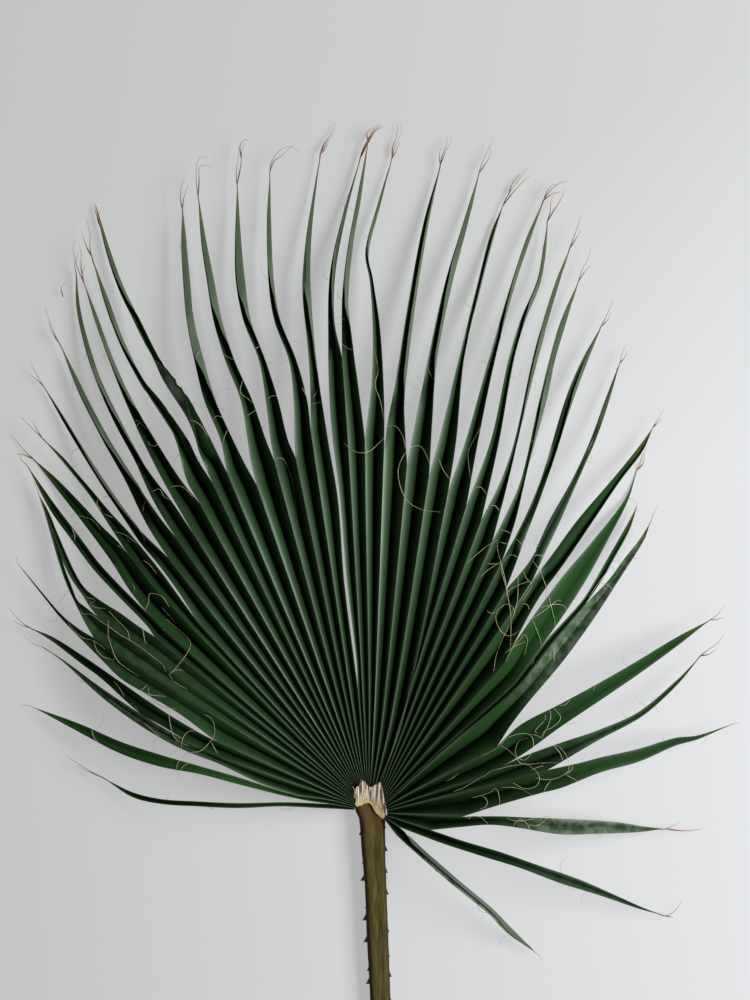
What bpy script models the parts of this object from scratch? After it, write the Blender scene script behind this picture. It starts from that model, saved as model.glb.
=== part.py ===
"""Fan palm leaf: a pleated blade of pointed segments, its spiny leaf stalk and the papery crown
where they join. The leaf lies on its underside, upper side up, stalk towards -Y.

Outline points are read on a layout sheet, in millimetres from the sheet's left and top edges.
The hub, where the stalk meets the blade, is the part's origin.
"""

import math
import random

import bmesh
import bpy
from mathutils import Vector

MM = 0.001

# Layout sheet
HUB_ON_SHEET = (372.0, 815.0)

# Blade, all in millimetres
BLADE_THICKNESS = 0.7
STATION_STEP = 34.0
HUB_RING_CENTRE = (370.0, 813.0)
HUB_RING_HALF_WIDTH = 19.5
HUB_RING_HALF_HEIGHT = 28.0
HUB_HEIGHT = 15.9
CROWN_HEIGHT = 46.0
CROWN_AT = 0.5
TIP_HEIGHT = 9.0
TIP_SPREAD = 6.0
LOW_TIP_HEIGHT = 0.1
LOW_TIPS = ("S09", "S35")
FOLD_AT_HUB = 0.8
FOLD_IN_FAN = 1.15
FOLD_FULL_RADIUS = 110.0
FLAT_SEGMENTS = ("S02", "S05", "S06", "S07", "S35", "S37", "S38", "S40")
FLAT_IN_FAN = 0.45
FLAT_PAST_SPLITS = 0.12
FLAT_FROM = 130.0
FLAT_RUN = 90.0
OPEN_FOLD = 0.32
UPRIGHT_TURN = 0.3
MOST_FLAP = 0.92
TURN_RUN = 40.0
TURN_FREE_RUN = 18.0
FOLD_RUN = 50.0

# Leaf stalk, in millimetres
STALK_HEIGHT = 14.4
STALK_SIDE_PROFILE = ((0.25, 0.0), (0.42, 0.16), (0.5, 0.5), (0.46, 0.84), (0.3, 1.0))
STALK_GROOVE = 0.93
SPINE_ROOT_RADIUS = 2.3
SPINE_SUNK = 2.2
SPINE_SIDES = 6

# Papery crown, in millimetres
CROWN_PAPER_THICKNESS = 0.8
CROWN_PAPER_ROWS = 4

# Angle on the hub ring of the ridge before each numbered segment, in degrees; the rest lie between
RIDGE_ANGLES = ((0, 177.0), (1, 173.0), (2, 169.0), (20, 110.0), (24, 89.0), (28, 55.0), (43, -20.0))

# Ridge between neighbours: points from the hub outwards, the last one where the two split
RIDGES = (
    [(332, 805.5)],
    [(330, 801.5), (297, 796.5)],
    [(224, 758)],
    [(217, 741)],
    [(93, 638)],
    [(97, 617)],
    [(155, 636)],
    [(165, 630)],
    [(152, 585)],
    [(198, 621)],
    [(168, 557)],
    [(176, 537)],
    [(198, 540)],
    [(200, 503)],
    [(213, 483)],
    [(227, 472)],
    [(257, 485)],
    [(275, 462)],
    [(296, 458)],
    [(311, 431)],
    [(358, 690)],
    [(362, 680), (355, 560), (348, 440), (342, 358)],
    [(369, 680), (366, 520), (365, 440)],
    [(375, 700), (384, 452)],
    [(383, 715), (407, 465)],
    [(392, 715), (429, 475)],
    [(403, 720), (448, 491)],
    [(466, 506)],
    [(481, 520)],
    [(492, 541)],
    [(502, 560)],
    [(505, 590)],
    [(532, 580)],
    [(506, 660)],
    [(513, 683)],
    [(450, 745), (515, 688), (550, 645), (586, 604)],
    [(497, 746)],
    [(484, 776)],
    [(547, 769)],
    [(462, 817)],
    [(431, 831)],
    [(400, 829)],
)

# Segments clockwise from the lowest on the left. Margins run from the split to the tip, and fold is
# how far the segment stays shut past the split. Turn tells, from one sheet point to the next, how far
# the shut fold has rolled over: to the left above 0, to the right below it, right over at 1.
SEGMENTS = (
    dict(name="S01", fold=0.8, tip=(100, 780),
         left=[(320, 809), (280, 806), (240, 807), (200, 806), (160, 805), (130, 799)],
         right=[(300, 803), (280, 802), (240, 802), (200, 801), (160, 800), (130, 794)]),
    dict(name="S02", fold=0.1, tip=(30, 709),
         left=[(310, 802), (280, 795), (240, 784), (200, 773), (160, 766), (120, 754), (80, 735)],
         right=[(280, 791), (240, 777), (200, 765), (160, 754), (120, 742), (80, 726)]),
    dict(name="S03", fold=0.3, tip=(40, 648),
         left=[(260, 783), (220, 763), (180, 747), (140, 725), (100, 697), (60, 662)],
         right=[(180, 736), (140, 713), (100, 688), (60, 660)]),
    dict(name="S04", fold=0.2, tip=(27, 629),
         left=[(200, 747), (160, 724), (140, 713), (100, 679), (80, 665), (50, 643)],
         right=[(200, 732), (160, 708), (120, 682), (80, 656), (50, 638)]),
    dict(name="S05", fold=0.5, tip=(17, 567),
         left=[(180, 713), (140, 690), (120, 678), (100, 659), (80, 640), (60, 620), (40, 596)],
         right=[(80, 631), (60, 616), (40, 594)]),
    dict(name="S06", fold=0.2, tip=(38, 500),
         left=[(85, 625), (78, 612), (72, 600), (66, 588), (59, 570), (52, 548)],
         right=[(85, 608), (76, 601), (70, 587), (63, 570), (56, 548)]),
    dict(name="S07", fold=0.4, tip=(36, 495),
         left=[(88, 606), (83, 598), (67, 575), (49, 535), (42, 515)],
         right=[(140, 627), (120, 613), (100, 601), (83, 588), (72, 571), (54, 532), (46, 513)]),
    dict(name="S08", fold=0.8, tip=(24, 465),
         left=[(147, 625), (117, 595), (92, 569), (72, 543), (47, 509)],
         right=[(153, 618), (123, 589), (98, 563), (78, 537), (53, 505)]),
    dict(name="S09", fold=0.0, tip=(30, 459),
         left=[(150, 615), (130, 591), (110, 561), (80, 522), (55, 491), (40, 472)],
         right=[(140, 570), (120, 545), (100, 526), (80, 505), (55, 480), (40, 467)]),
    dict(name="S10", fold=0.3, tip=(40, 438),
         left=[(130, 557), (110, 528), (90, 498), (75, 479), (60, 461)],
         right=[(180, 597), (160, 570), (130, 534), (110, 513), (90, 490), (75, 473), (60, 456)]),
    dict(name="S11", fold=0.9, tip=(40, 385),
         left=[(180, 593), (160, 566), (140, 543), (120, 514), (100, 485), (80, 454), (60, 421)],
         right=[(140, 530), (120, 505), (100, 477), (80, 447), (60, 415)],
         turn=[(141, 535, 0.25), (112, 498, 0.62), (95, 470, 0.68), (75, 440, 0.4), (55, 405, 0.5)]),
    dict(name="S12", fold=0.8, tip=(58, 345),
         left=[(144, 520), (124, 480), (101, 440), (80, 400), (71, 380)],
         right=[(162, 520), (134, 480), (108, 440), (86, 400), (76, 380)],
         turn=[(140, 500, 0.25), (118, 460, 0.6), (100, 435, 0.85), (83, 400, 0.9), (74, 380, 1.0)]),
    dict(name="S13", fold=0.8, tip=(73, 270),
         left=[(153, 500), (134, 460), (112, 420), (94, 380), (85, 355), (77, 325), (73, 300)],
         right=[(190, 528), (171, 500), (155, 480), (141, 460), (119, 420), (99, 380), (90, 355),
                (81, 325), (76, 300)],
         turn=[(150, 485, 0.1), (138, 460, 0.3), (120, 430, 0.5), (107, 400, 0.75), (97, 375, 0.95)]),
    dict(name="S14", fold=0.8, tip=(82, 282),
         left=[(186, 520), (163, 480), (142, 440), (124, 400), (108, 360), (93, 320)],
         right=[(181, 480), (155, 440), (131, 400), (112, 360), (97, 320)],
         turn=[(150, 445, 0.15), (139, 412, 0.3), (128, 395, 0.6), (116, 372, 0.9), (110, 355, 1.0)]),
    dict(name="S15", fold=0.8, tip=(91, 260),
         left=[(187, 480), (176, 440), (164, 420), (138, 380), (117, 340), (102, 300)],
         right=[(198, 460), (188, 440), (160, 400), (143, 380), (122, 340), (107, 300)],
         turn=[(190, 465, 0.0), (177, 440, -0.3), (163, 420, -0.5), (152, 395, -0.45),
               (143, 385, -0.25), (135, 373, 0.25), (129, 360, 0.55), (121, 340, 0.8),
               (104, 300, 0.9)]),
    dict(name="S16", fold=0.9, tip=(92, 200),
         left=[(203, 460), (188, 420), (163, 380), (153, 360), (135, 325), (117, 289), (103, 248)],
         right=[(211, 440), (190, 400), (176, 380), (160, 360), (140, 322), (122, 287), (107, 247)],
         turn=[(212, 470, 0.0), (200, 445, -0.3), (191, 420, -0.62), (180, 395, -0.9),
               (160, 365, -0.9), (153, 356, -0.4), (140, 330, -0.2), (125, 298, 0.6), (110, 262, 0.9)]),
    dict(name="S17", fold=0.9, tip=(181, 207),
         left=[(221, 440), (204, 400), (194, 360), (186, 320), (182, 280), (180, 240)],
         right=[(243, 460), (215, 400), (203, 360), (193, 320), (189, 280), (185, 240)],
         turn=[(232, 445, 0.0), (214, 396, 0.3), (206, 380, 0.5), (193, 352, 1.0)]),
    dict(name="S18", fold=0.9, tip=(197, 195),
         left=[(251, 460), (248, 440), (241, 400), (225, 360), (213, 320), (206, 280), (200, 240)],
         right=[(266, 440), (252, 400), (234, 360), (221, 320), (213, 280), (205, 240)],
         turn=[(250, 400, 0.0), (228, 348, 0.3), (220, 325, 0.6), (207, 300, 0.95)]),
    dict(name="S19", fold=0.9, tip=(236, 182),
         left=[(271, 440), (266, 400), (259, 360), (243, 320), (235, 280), (234, 240)],
         right=[(288, 440), (278, 400), (265, 360), (250, 320), (244, 280), (240, 240)],
         turn=[(270, 385, 0.0), (253, 333, 0.3), (245, 310, 0.65), (236, 288, 0.95)]),
    dict(name="S20", fold=0.9, tip=(269, 170),
         left=[(295, 440), (294, 400), (289, 360), (274, 320), (268, 280), (266, 220)],
         right=[(307, 400), (296, 360), (280, 320), (273, 280), (270, 220)],
         turn=[(300, 395, 0.0), (283, 330, 0.3), (277, 300, 0.5), (269, 280, 0.8), (267, 262, 1.0)]),
    dict(name="S21", fold=0.9, tip=(320, 150),
         left=[(310, 380), (307, 340), (302, 290), (305, 240), (311, 200)],
         right=[(354, 660), (344, 580), (338, 500), (328, 440), (316, 360), (310, 280), (312, 220)],
         turn=[(325, 420, 0.05), (318, 385, 0.25), (313, 350, 0.42), (309, 310, 0.62),
               (303, 283, 0.88), (303, 270, 1.0)]),
    dict(name="S22", fold=0.9, tip=(360, 155),
         left=[(356.5, 660), (347, 580), (340.5, 500), (331, 420), (328, 340), (330, 270), (343, 210)],
         right=[(334, 320), (335, 270), (346, 210)],
         turn=[(337, 360, 0.05), (334, 325, 0.3), (331, 300, 0.55), (330, 275, 0.75),
               (334, 250, 0.95)]),
    dict(name="S23", fold=0.8, tip=(368, 138),
         left=[(342, 300), (347, 250), (356, 200)],
         right=[(360, 400), (352, 340), (348, 300), (353, 240), (360, 200)],
         turn=[(352, 370, 0.05), (349, 328, 0.3), (346, 300, 0.75), (346, 275, 0.97)]),
    dict(name="S24", fold=0.7, tip=(392, 155),
         left=[(372, 380), (373, 330), (370, 280), (365.5, 250), (378, 200)],
         right=[(384, 400), (380, 330), (373, 280), (368.5, 250), (381, 200)],
         turn=[(375, 330, 0.1), (370, 275, 0.25), (367, 256, 0.5), (368, 240, 0.9), (374, 215, 1.0)]),
    dict(name="S25", fold=0.9, tip=(441, 162),
         left=[(388, 420), (396, 380), (409, 300), (424, 220)],
         right=[(404, 410), (406, 380), (416, 300), (429, 220)],
         turn=[(405, 430, 0.1), (404, 398, 0.3), (406, 370, 0.55), (410, 330, 0.62), (430, 200, 0.6)]),
    dict(name="S26", fold=0.9, tip=(480, 170),
         left=[(412, 440), (428, 360), (446, 280), (464, 220)],
         right=[(432, 420), (437, 360), (453, 280), (469, 220)],
         turn=[(432, 420, 0.1), (434, 385, 0.3), (437, 350, 0.55), (443, 320, 0.6), (450, 285, 0.78),
               (456, 255, 0.95)]),
    dict(name="S27", fold=0.9, tip=(504, 203),
         left=[(439, 440), (459, 360), (479, 280), (492, 230)],
         right=[(456, 440), (464, 360), (483, 280), (496, 230)],
         turn=[(460, 390, 0.05), (464, 348, 0.28), (471, 315, 0.5), (480, 275, 0.58), (500, 210, 0.5)]),
    dict(name="S28", fold=0.9, tip=(545, 198),
         left=[(466, 440), (489, 360), (513, 280), (528, 235)],
         right=[(478, 440), (495, 360), (517, 280), (532, 235)],
         turn=[(490, 370, 0.1), (497, 338, 0.3), (503, 318, 0.6), (509, 295, 0.85), (515, 275, 1.0)]),
    dict(name="S29", fold=0.9, tip=(549, 219),
         left=[(491, 440), (509, 360), (521, 320), (538, 280), (544, 250)],
         right=[(499, 440), (514, 360), (526, 320), (542, 280), (547, 250)],
         turn=[(507, 375, 0.05), (518, 335, 0.3), (524, 312, 0.6), (530, 298, 0.9)]),
    dict(name="S30", fold=0.9, tip=(571, 247),
         left=[(501, 480), (515, 440), (533, 360), (544, 320), (557, 280)],
         right=[(508, 480), (518, 440), (538, 360), (549, 320), (561, 280)],
         turn=[(508, 475, 0.2), (516, 440, 0.4), (520, 420, 0.55), (524, 400, 0.78), (535, 355, 0.85),
               (545, 320, 0.95)]),
    dict(name="S31", fold=0.9, tip=(580, 280),
         left=[(503, 520), (521, 480), (540, 400), (550, 360), (562, 320)],
         right=[(515, 520), (525, 480), (547, 400), (556, 360), (568, 320)],
         turn=[(512, 515, 0.1), (520, 485, 0.3), (529, 455, 0.6), (537, 418, 0.72), (543, 395, 0.85),
               (570, 300, 0.92)]),
    dict(name="S32", fold=0.8, tip=(603, 325),
         left=[(524, 520), (541, 480), (566, 400), (583, 360)],
         right=[(532, 520), (547, 480), (574, 400), (589, 360)],
         turn=[(512, 560, 0.0), (524, 530, -0.35), (534, 505, -0.5), (543, 480, -0.25),
               (549, 460, 0.1), (556, 435, 0.3), (566, 410, 0.45), (575, 385, 0.6), (592, 345, 0.75)]),
    dict(name="S33", fold=0.8, tip=(622, 362),
         left=[(530, 560), (550, 520), (573, 480), (592, 440), (607, 400)],
         right=[(561, 520), (579, 480), (597, 440), (611, 400)],
         turn=[(532, 560, -0.1), (540, 545, -0.4), (552, 520, -0.5), (570, 485, -0.5),
               (582, 460, -0.45), (592, 440, -0.65), (602, 415, -0.95)]),
    dict(name="S34", fold=0.3, tip=(655, 427),
         left=[(548, 560), (578, 520), (613, 480), (638, 450)],
         right=[(514, 642), (537, 600), (566, 560), (594, 520), (622, 480), (645, 450)],
         turn=[(560, 560, 0.2), (585, 520, 0.25), (630, 465, 0.12)]),
    dict(name="S35", fold=0.0, tip=(640, 470),
         left=[(516, 640), (560, 580), (595, 540), (627, 500)],
         right=[(530, 660), (560, 620), (587, 580), (610, 540), (631, 500)]),
    dict(name="S36", fold=0.4, tip=(640, 505),
         left=[(545, 641), (566, 619), (584, 599), (597, 579), (609, 559), (628, 527)],
         right=[(602, 582), (614, 562), (632, 530)]),
    dict(name="S37", fold=0.1, tip=(652, 523),
         left=[(610, 580), (625, 560), (641, 540)],
         right=[(510, 725), (529, 700), (563, 660), (593, 620), (620, 580), (646, 540)]),
    dict(name="S38", fold=0.2, tip=(712, 621),
         left=[(520, 724), (560, 703), (600, 682), (640, 660), (680, 637)],
         right=[(520, 755), (560, 726), (600, 700), (640, 674), (680, 646)]),
    dict(name="S39", fold=0.1, tip=(703, 657),
         left=[(520, 757), (560, 742), (600, 729), (640, 712), (680, 680)],
         right=[(580, 750), (600, 739), (640, 719), (660, 704), (684, 681)]),
    dict(name="S40", fold=0.1, tip=(735, 726),
         left=[(580, 762), (600, 757), (640, 749), (677, 739), (700, 737)],
         right=[(500, 804), (540, 792), (560, 787), (600, 772), (640, 762), (677, 747), (700, 741)]),
    dict(name="S41", fold=0.2, tip=(668, 832),
         left=[(500, 815.5), (540, 817), (580, 819.5), (620, 824), (645, 829)],
         right=[(460, 827), (490, 824), (520, 827), (560, 834), (600, 835), (640, 835)]),
    dict(name="S42", fold=0.4, tip=(668, 920),
         left=[(460, 840), (500, 851), (540, 865), (580, 880), (620, 899), (645, 911)],
         right=[(440, 843), (480, 855), (520, 867), (560, 883), (600, 897), (640, 912)]),
    dict(name="S43", fold=0.8, tip=(537, 957),
         left=[(422, 849), (452, 874), (492, 909), (512, 931)],
         right=[(398, 838), (418, 855), (448, 880), (488, 914), (508, 936)],
         turn=[(395, 832, -0.3), (412, 845, -0.62), (490, 910, -0.62), (520, 940, -0.9)]),
)

# Leaf stalk sections: sheet y, left edge, right edge, underside height, top height
STALK_SECTIONS = (
    (1115, 375.5, 394.5, 0.0, 11.5),
    (1060, 373.0, 392.5, 0.0, 12.0),
    (1000, 370.2, 390.3, 0.0, 12.6),
    (935, 366.7, 388.0, 0.0, 13.2),
    (889, 365.0, 386.3, 0.0, 13.7),
    (860, 362.2, 385.2, 0.0, 14.0),
    (822, 359.5, 385.0, 0.0, STALK_HEIGHT),
    (812, 354.5, 387.5, 0.0, STALK_HEIGHT),
    (800, 352.5, 388.5, 0.0, STALK_HEIGHT),
    (788, 355.0, 385.5, 2.5, STALK_HEIGHT),
    (768, 360.0, 381.0, 6.5, STALK_HEIGHT),
    (745, 366.0, 377.0, 10.6, STALK_HEIGHT),
)

# Stalk spines: sheet position of each point, and its reach out of the stalk
LEFT_SPINES = ((358.5, 838), (361.6, 866.5), (360.0, 884), (365.6, 912), (362.0, 924), (363.0, 946),
               (366.7, 975), (365.6, 988), (367.0, 1016), (370.5, 1041), (368.0, 1066), (371.5, 1090))
RIGHT_SPINES = ((386.0, 831), (388.0, 854), (388.0, 876), (389.0, 898), (389.7, 936), (389.9, 961),
                (392.0, 981), (393.5, 1009), (394.0, 1034), (395.5, 1058), (396.5, 1084))

# Papery crown, left to right: foot on the stalk, ragged top edge and how high the edge stands
CROWN_PAPER = (
    ((356.0, 805), (354.5, 791), 21.5),
    ((358.5, 808.5), (357.5, 786), 20.5),
    ((361.0, 807), (361.0, 781.6), 22.5),
    ((367.0, 805), (367.0, 787), 21.5),
    ((372.7, 807), (373.0, 789), 20.5),
    ((377.0, 813), (379.0, 783.5), 22.5),
    ((381.0, 819), (384.0, 792), 20.5),
    ((384.5, 820.5), (386.3, 806), 18.0),
)
CROWN_PAPER_FOOT_HEIGHT = 15.1


def clear_scene():
    for obj in list(bpy.data.objects):
        bpy.data.objects.remove(obj, do_unlink=True)


def new_collection(name):
    collection = bpy.data.collections.new(name)
    bpy.context.scene.collection.children.link(collection)
    return collection


def make_material(name, colour, roughness):
    material = bpy.data.materials.new(name)
    material.use_nodes = True
    shader = material.node_tree.nodes["Principled BSDF"]
    shader.inputs["Base Color"].default_value = (*colour, 1.0)
    shader.inputs["Roughness"].default_value = roughness
    shader.inputs["Metallic"].default_value = 0.0
    return material


def smooth(value):
    value = min(max(value, 0.0), 1.0)
    return value * value * (3.0 - 2.0 * value)


def mix(first, second, share):
    return first + (second - first) * share


def on_leaf(point):
    """Turn a sheet point into leaf millimetres, x right and y up from the hub."""
    return Vector((point[0] - HUB_ON_SHEET[0], HUB_ON_SHEET[1] - point[1]))


def curve_at(points, radius):
    """Point of a smooth curve through points, at the given distance from the hub."""
    radii = [point.length for point in points]
    index = 0
    while index < len(points) - 2 and radius > radii[index + 1]:
        index += 1
    before = max(index - 1, 0)
    after = min(index + 2, len(points) - 1)
    span = radii[index + 1] - radii[index]
    share = min(max((radius - radii[index]) / span, 0.0), 1.0)
    slope_in = (points[index + 1] - points[before]) / (radii[index + 1] - radii[before])
    slope_out = (points[after] - points[index]) / (radii[after] - radii[index])
    square = share * share
    cube = square * share
    return (points[index] * (2 * cube - 3 * square + 1)
            + slope_in * (cube - 2 * square + share) * span
            + points[index + 1] * (3 * square - 2 * cube)
            + slope_out * (cube - square) * span)


def ridge_angle(index):
    """Angle on the hub ring where a ridge starts, in radians."""
    for (low, low_angle), (high, high_angle) in zip(RIDGE_ANGLES, RIDGE_ANGLES[1:]):
        if index <= high:
            return math.radians(mix(low_angle, high_angle, (index - low) / (high - low)))
    return math.radians(RIDGE_ANGLES[-1][1])


def ridge_start(index):
    angle = ridge_angle(index)
    return on_leaf((HUB_RING_CENTRE[0] + HUB_RING_HALF_WIDTH * math.cos(angle),
                    HUB_RING_CENTRE[1] - HUB_RING_HALF_HEIGHT * math.sin(angle)))


def arch(share):
    """Height of the blade along a segment, 0 at the hub and 1 at the tip."""
    if share < CROWN_AT:
        return mix(HUB_HEIGHT, CROWN_HEIGHT, smooth(share / CROWN_AT))
    return mix(CROWN_HEIGHT, TIP_HEIGHT, smooth((share - CROWN_AT) / (1.0 - CROWN_AT)))


def flap_share(turn):
    """Share of the segment's width that the half rolled over it covers."""
    return MOST_FLAP * max(abs(turn) - UPRIGHT_TURN, 0.0) / (1.0 - UPRIGHT_TURN)


class Segment:
    """One pleated segment between two ridges, with its own margins past the splits."""

    def __init__(self, index, entry, tip_height):
        self.tip = on_leaf(entry["tip"])
        self.reach = self.tip.length
        self.fold = entry["fold"]
        self.flat = entry["name"] in FLAT_SEGMENTS
        self.turn = [(on_leaf((x, y)).length, amount) for x, y, amount in entry.get("turn", ())]
        self.tip_lift = tip_height - TIP_HEIGHT
        self.index = index

    def join(self, ridges, reaches, entry):
        """Take the ridges at both sides and lay the margins from the hub to the tip."""
        self.sides = []
        for side, name in enumerate(("left", "right")):
            ridge = ridges[self.index + side]
            split = ridge[-1].length
            free = [on_leaf(point) for point in entry[name]]
            free = [point for point in free if point.length > split + 3.0]
            self.sides.append(dict(ridge=ridge, split=split, ridge_reach=reaches[self.index + side],
                                   margin=[ridge[-1]] + free + [self.tip]))
        self.free_from = max(side["split"] for side in self.sides)
        left, right = self.flat_margins(self.free_from)
        half_width = (right - left).length / 2
        self.half_blade = half_width * math.hypot(1.0, self.fan_fold(self.free_from))

    def fan_fold(self, radius):
        fold = mix(FOLD_AT_HUB, FOLD_IN_FAN, smooth(radius / FOLD_FULL_RADIUS))
        return mix(fold, FLAT_IN_FAN, smooth((radius - FLAT_FROM) / FLAT_RUN)) if self.flat else fold

    def flat_margins(self, radius):
        points = []
        for side in self.sides:
            fused = radius <= side["split"] and len(side["ridge"]) > 1
            points.append(curve_at(side["ridge"] if fused else side["margin"], radius))
        return points

    def share(self, side, radius):
        """How far along the segment a margin point lies, from 0 at the hub to 1 at the tip."""
        if radius <= side["split"]:
            return radius / side["ridge_reach"]
        start = side["split"] / side["ridge_reach"]
        return mix(start, 1.0, (radius - side["split"]) / (self.reach - side["split"]))

    def height(self, side, radius):
        share = self.share(side, radius)
        start = min(side["split"] / side["ridge_reach"], 0.9)
        return arch(share) + self.tip_lift * smooth((share - start) / (1.0 - start))

    def turned(self, radius):
        """How far the shut fold has rolled over at a distance from the hub."""
        before = (self.turn[0][0] - TURN_RUN, 0.0) if self.turn else (0.0, 0.0)
        for point in self.turn:
            if radius <= point[0]:
                share = smooth((radius - before[0]) / (point[0] - before[0]))
                return mix(before[1], point[1], share)
            before = point
        return before[1]

    def section(self, radius):
        """Left margin, midrib and right margin of the segment, at a distance from the hub."""
        left, right = self.flat_margins(radius)
        centre = (left + right) / 2
        across = (right - left) / 2
        half_width = across.length
        past = radius - self.free_from
        shut = smooth(past / FOLD_RUN)
        taper = 1.0 - min(max(past / (self.reach - self.free_from), 0.0), 1.0) ** 1.3
        width = self.half_blade * taper
        open_drop = (FLAT_PAST_SPLITS if self.flat else OPEN_FOLD) * half_width
        shut_drop = math.sqrt(max(width * width - half_width * half_width, open_drop * open_drop))
        drop = mix(self.fan_fold(radius) * half_width, mix(open_drop, shut_drop, self.fold), shut)
        flank = math.hypot(half_width, drop)
        turn = self.turned(radius) * smooth(past / TURN_FREE_RUN)
        rib = min(abs(turn) / UPRIGHT_TURN, 1.0)
        places = [-1.0, rib, 1.0 - 2.0 * flap_share(turn)]
        if turn < 0:
            places = [-place for place in reversed(places)]
        drops = [math.sqrt(max(flank ** 2 - ((places[1] - places[end]) * half_width) ** 2,
                               (0.2 * flank) ** 2)) for end in (0, 2)]
        heights = [self.height(side, radius) for side in self.sides]
        tilt = (drops[0] - drops[1]) / 2
        middle = sum(heights) / 2 - sum(drops) / 2
        levels = (heights[0] + tilt, middle, heights[1] - tilt)
        return [Vector((*(centre + across * place), level)) for place, level in zip(places, levels)]


def lay_out_segments():
    """All the segments, joined along their ridges."""
    draw = random.Random(11)
    segments = []
    for index, entry in enumerate(SEGMENTS):
        tip_height = TIP_HEIGHT + draw.uniform(-TIP_SPREAD, TIP_SPREAD)
        if entry["name"] in LOW_TIPS:
            tip_height = LOW_TIP_HEIGHT
        segments.append(Segment(index, entry, tip_height))
    last = len(segments)
    ridges = []
    reaches = []
    for index in range(last + 1):
        inner = RIDGES[index - 1] if 0 < index < last else []
        ridges.append([ridge_start(index)] + [on_leaf(point) for point in inner])
        beside = segments[max(index - 1, 0):min(index + 1, last)]
        reaches.append(sum(segment.reach for segment in beside) / len(beside))
    for segment, entry in zip(segments, SEGMENTS):
        segment.join(ridges, reaches, entry)
    return segments


def stations(start, end):
    """Distances from the hub of the rows of points between two ends."""
    count = max(round((end - start) / STATION_STEP), 1)
    return [mix(start, end, step / count) for step in range(count + 1)]


def stitch(mesh, left, right):
    """Fill the strip between two rows of (distance, vertex) with triangles."""
    i = j = 0
    while i < len(left) - 1 or j < len(right) - 1:
        next_left = left[i + 1][0] if i + 1 < len(left) else math.inf
        next_right = right[j + 1][0] if j + 1 < len(right) else math.inf
        if next_left <= next_right:
            corners = (left[i][1], right[j][1], left[i + 1][1])
            i += 1
        else:
            corners = (left[i][1], right[j][1], right[j + 1][1])
            j += 1
        if len(set(corners)) == 3:
            mesh.faces.new(corners)


def make_blade(collection, material):
    """The whole blade as one pleated sheet, thickened."""
    segments = lay_out_segments()
    mesh = bmesh.new()
    ridge_rows = {}

    def vertex(point):
        return mesh.verts.new(point * MM)

    for segment in segments:
        tip = segment.tip.to_3d()
        tip.z = TIP_HEIGHT + segment.tip_lift
        tip_vertex = vertex(tip)
        rows = []
        for place, side in ((0, segment.sides[0]), (2, segment.sides[1])):
            number = segment.index + place // 2
            start = side["ridge"][0].length
            if number not in ridge_rows:
                radii = stations(start, side["split"]) if side["split"] > start else [start]
                ridge_rows[number] = [(radius, vertex(segment.section(radius)[place]))
                                      for radius in radii]
            own = [(radius, vertex(segment.section(radius)[place]))
                   for radius in stations(side["split"], segment.reach)[1:-1]]
            rows.append(ridge_rows[number] + own + [(segment.reach, tip_vertex)])
        start = min(rows[0][0][0], rows[1][0][0])
        middle = [(radius, vertex(segment.section(radius)[1]))
                  for radius in stations(start, segment.reach)[:-1]]
        middle.append((segment.reach, tip_vertex))
        stitch(mesh, rows[0], middle)
        stitch(mesh, middle, rows[1])
    data = bpy.data.meshes.new("blade")
    mesh.to_mesh(data)
    mesh.free()
    data.materials.append(material)
    blade = bpy.data.objects.new("blade", data)
    collection.objects.link(blade)
    shell = blade.modifiers.new("Leaf thickness", "SOLIDIFY")
    shell.thickness = BLADE_THICKNESS * MM
    shell.offset = 0.0
    shell.solidify_mode = "NON_MANIFOLD"
    shell.nonmanifold_thickness_mode = "EVEN"
    return blade


def stalk_edges(sheet_y):
    """Left and right edge of the stalk at a place along it."""
    for low, high in zip(STALK_SECTIONS, STALK_SECTIONS[1:]):
        if high[0] <= sheet_y <= low[0]:
            share = (low[0] - sheet_y) / (low[0] - high[0])
            return mix(low[1], high[1], share), mix(low[2], high[2], share)
    return STALK_SECTIONS[0][1], STALK_SECTIONS[0][2]


def stalk_section(left, right, bottom, top):
    """Points round one section of the stalk: flat below, rounded sides, a shallow groove on top."""
    width = right - left
    centre = (left + right) / 2
    right_side = [(centre + width * out, mix(bottom, top, up)) for out, up in STALK_SIDE_PROFILE]
    groove = [(centre, mix(bottom, top, STALK_GROOVE))]
    left_side = [(2 * centre - x, z) for x, z in reversed(right_side)]
    return right_side + groove + left_side


def add_spine(collection, point, edge):
    """One short spine, rooted inside the stalk and leaning towards its cut end."""
    outward = 1.0 if point[0] > edge else -1.0
    tip = on_leaf(point).to_3d()
    root = on_leaf((edge - outward * SPINE_SUNK, point[1] - 3.0)).to_3d()
    tip.z = root.z = STALK_HEIGHT * 0.55
    axis = tip - root
    turn = Vector((0, 0, 1)).rotation_difference(axis)
    bpy.ops.mesh.primitive_cone_add(vertices=SPINE_SIDES, radius1=SPINE_ROOT_RADIUS * MM, radius2=0.0,
                                    depth=axis.length * MM, location=(tip + root) / 2 * MM,
                                    rotation=turn.to_euler())
    spine = bpy.context.object
    for holder in list(spine.users_collection):
        holder.objects.unlink(spine)
    collection.objects.link(spine)


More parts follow.
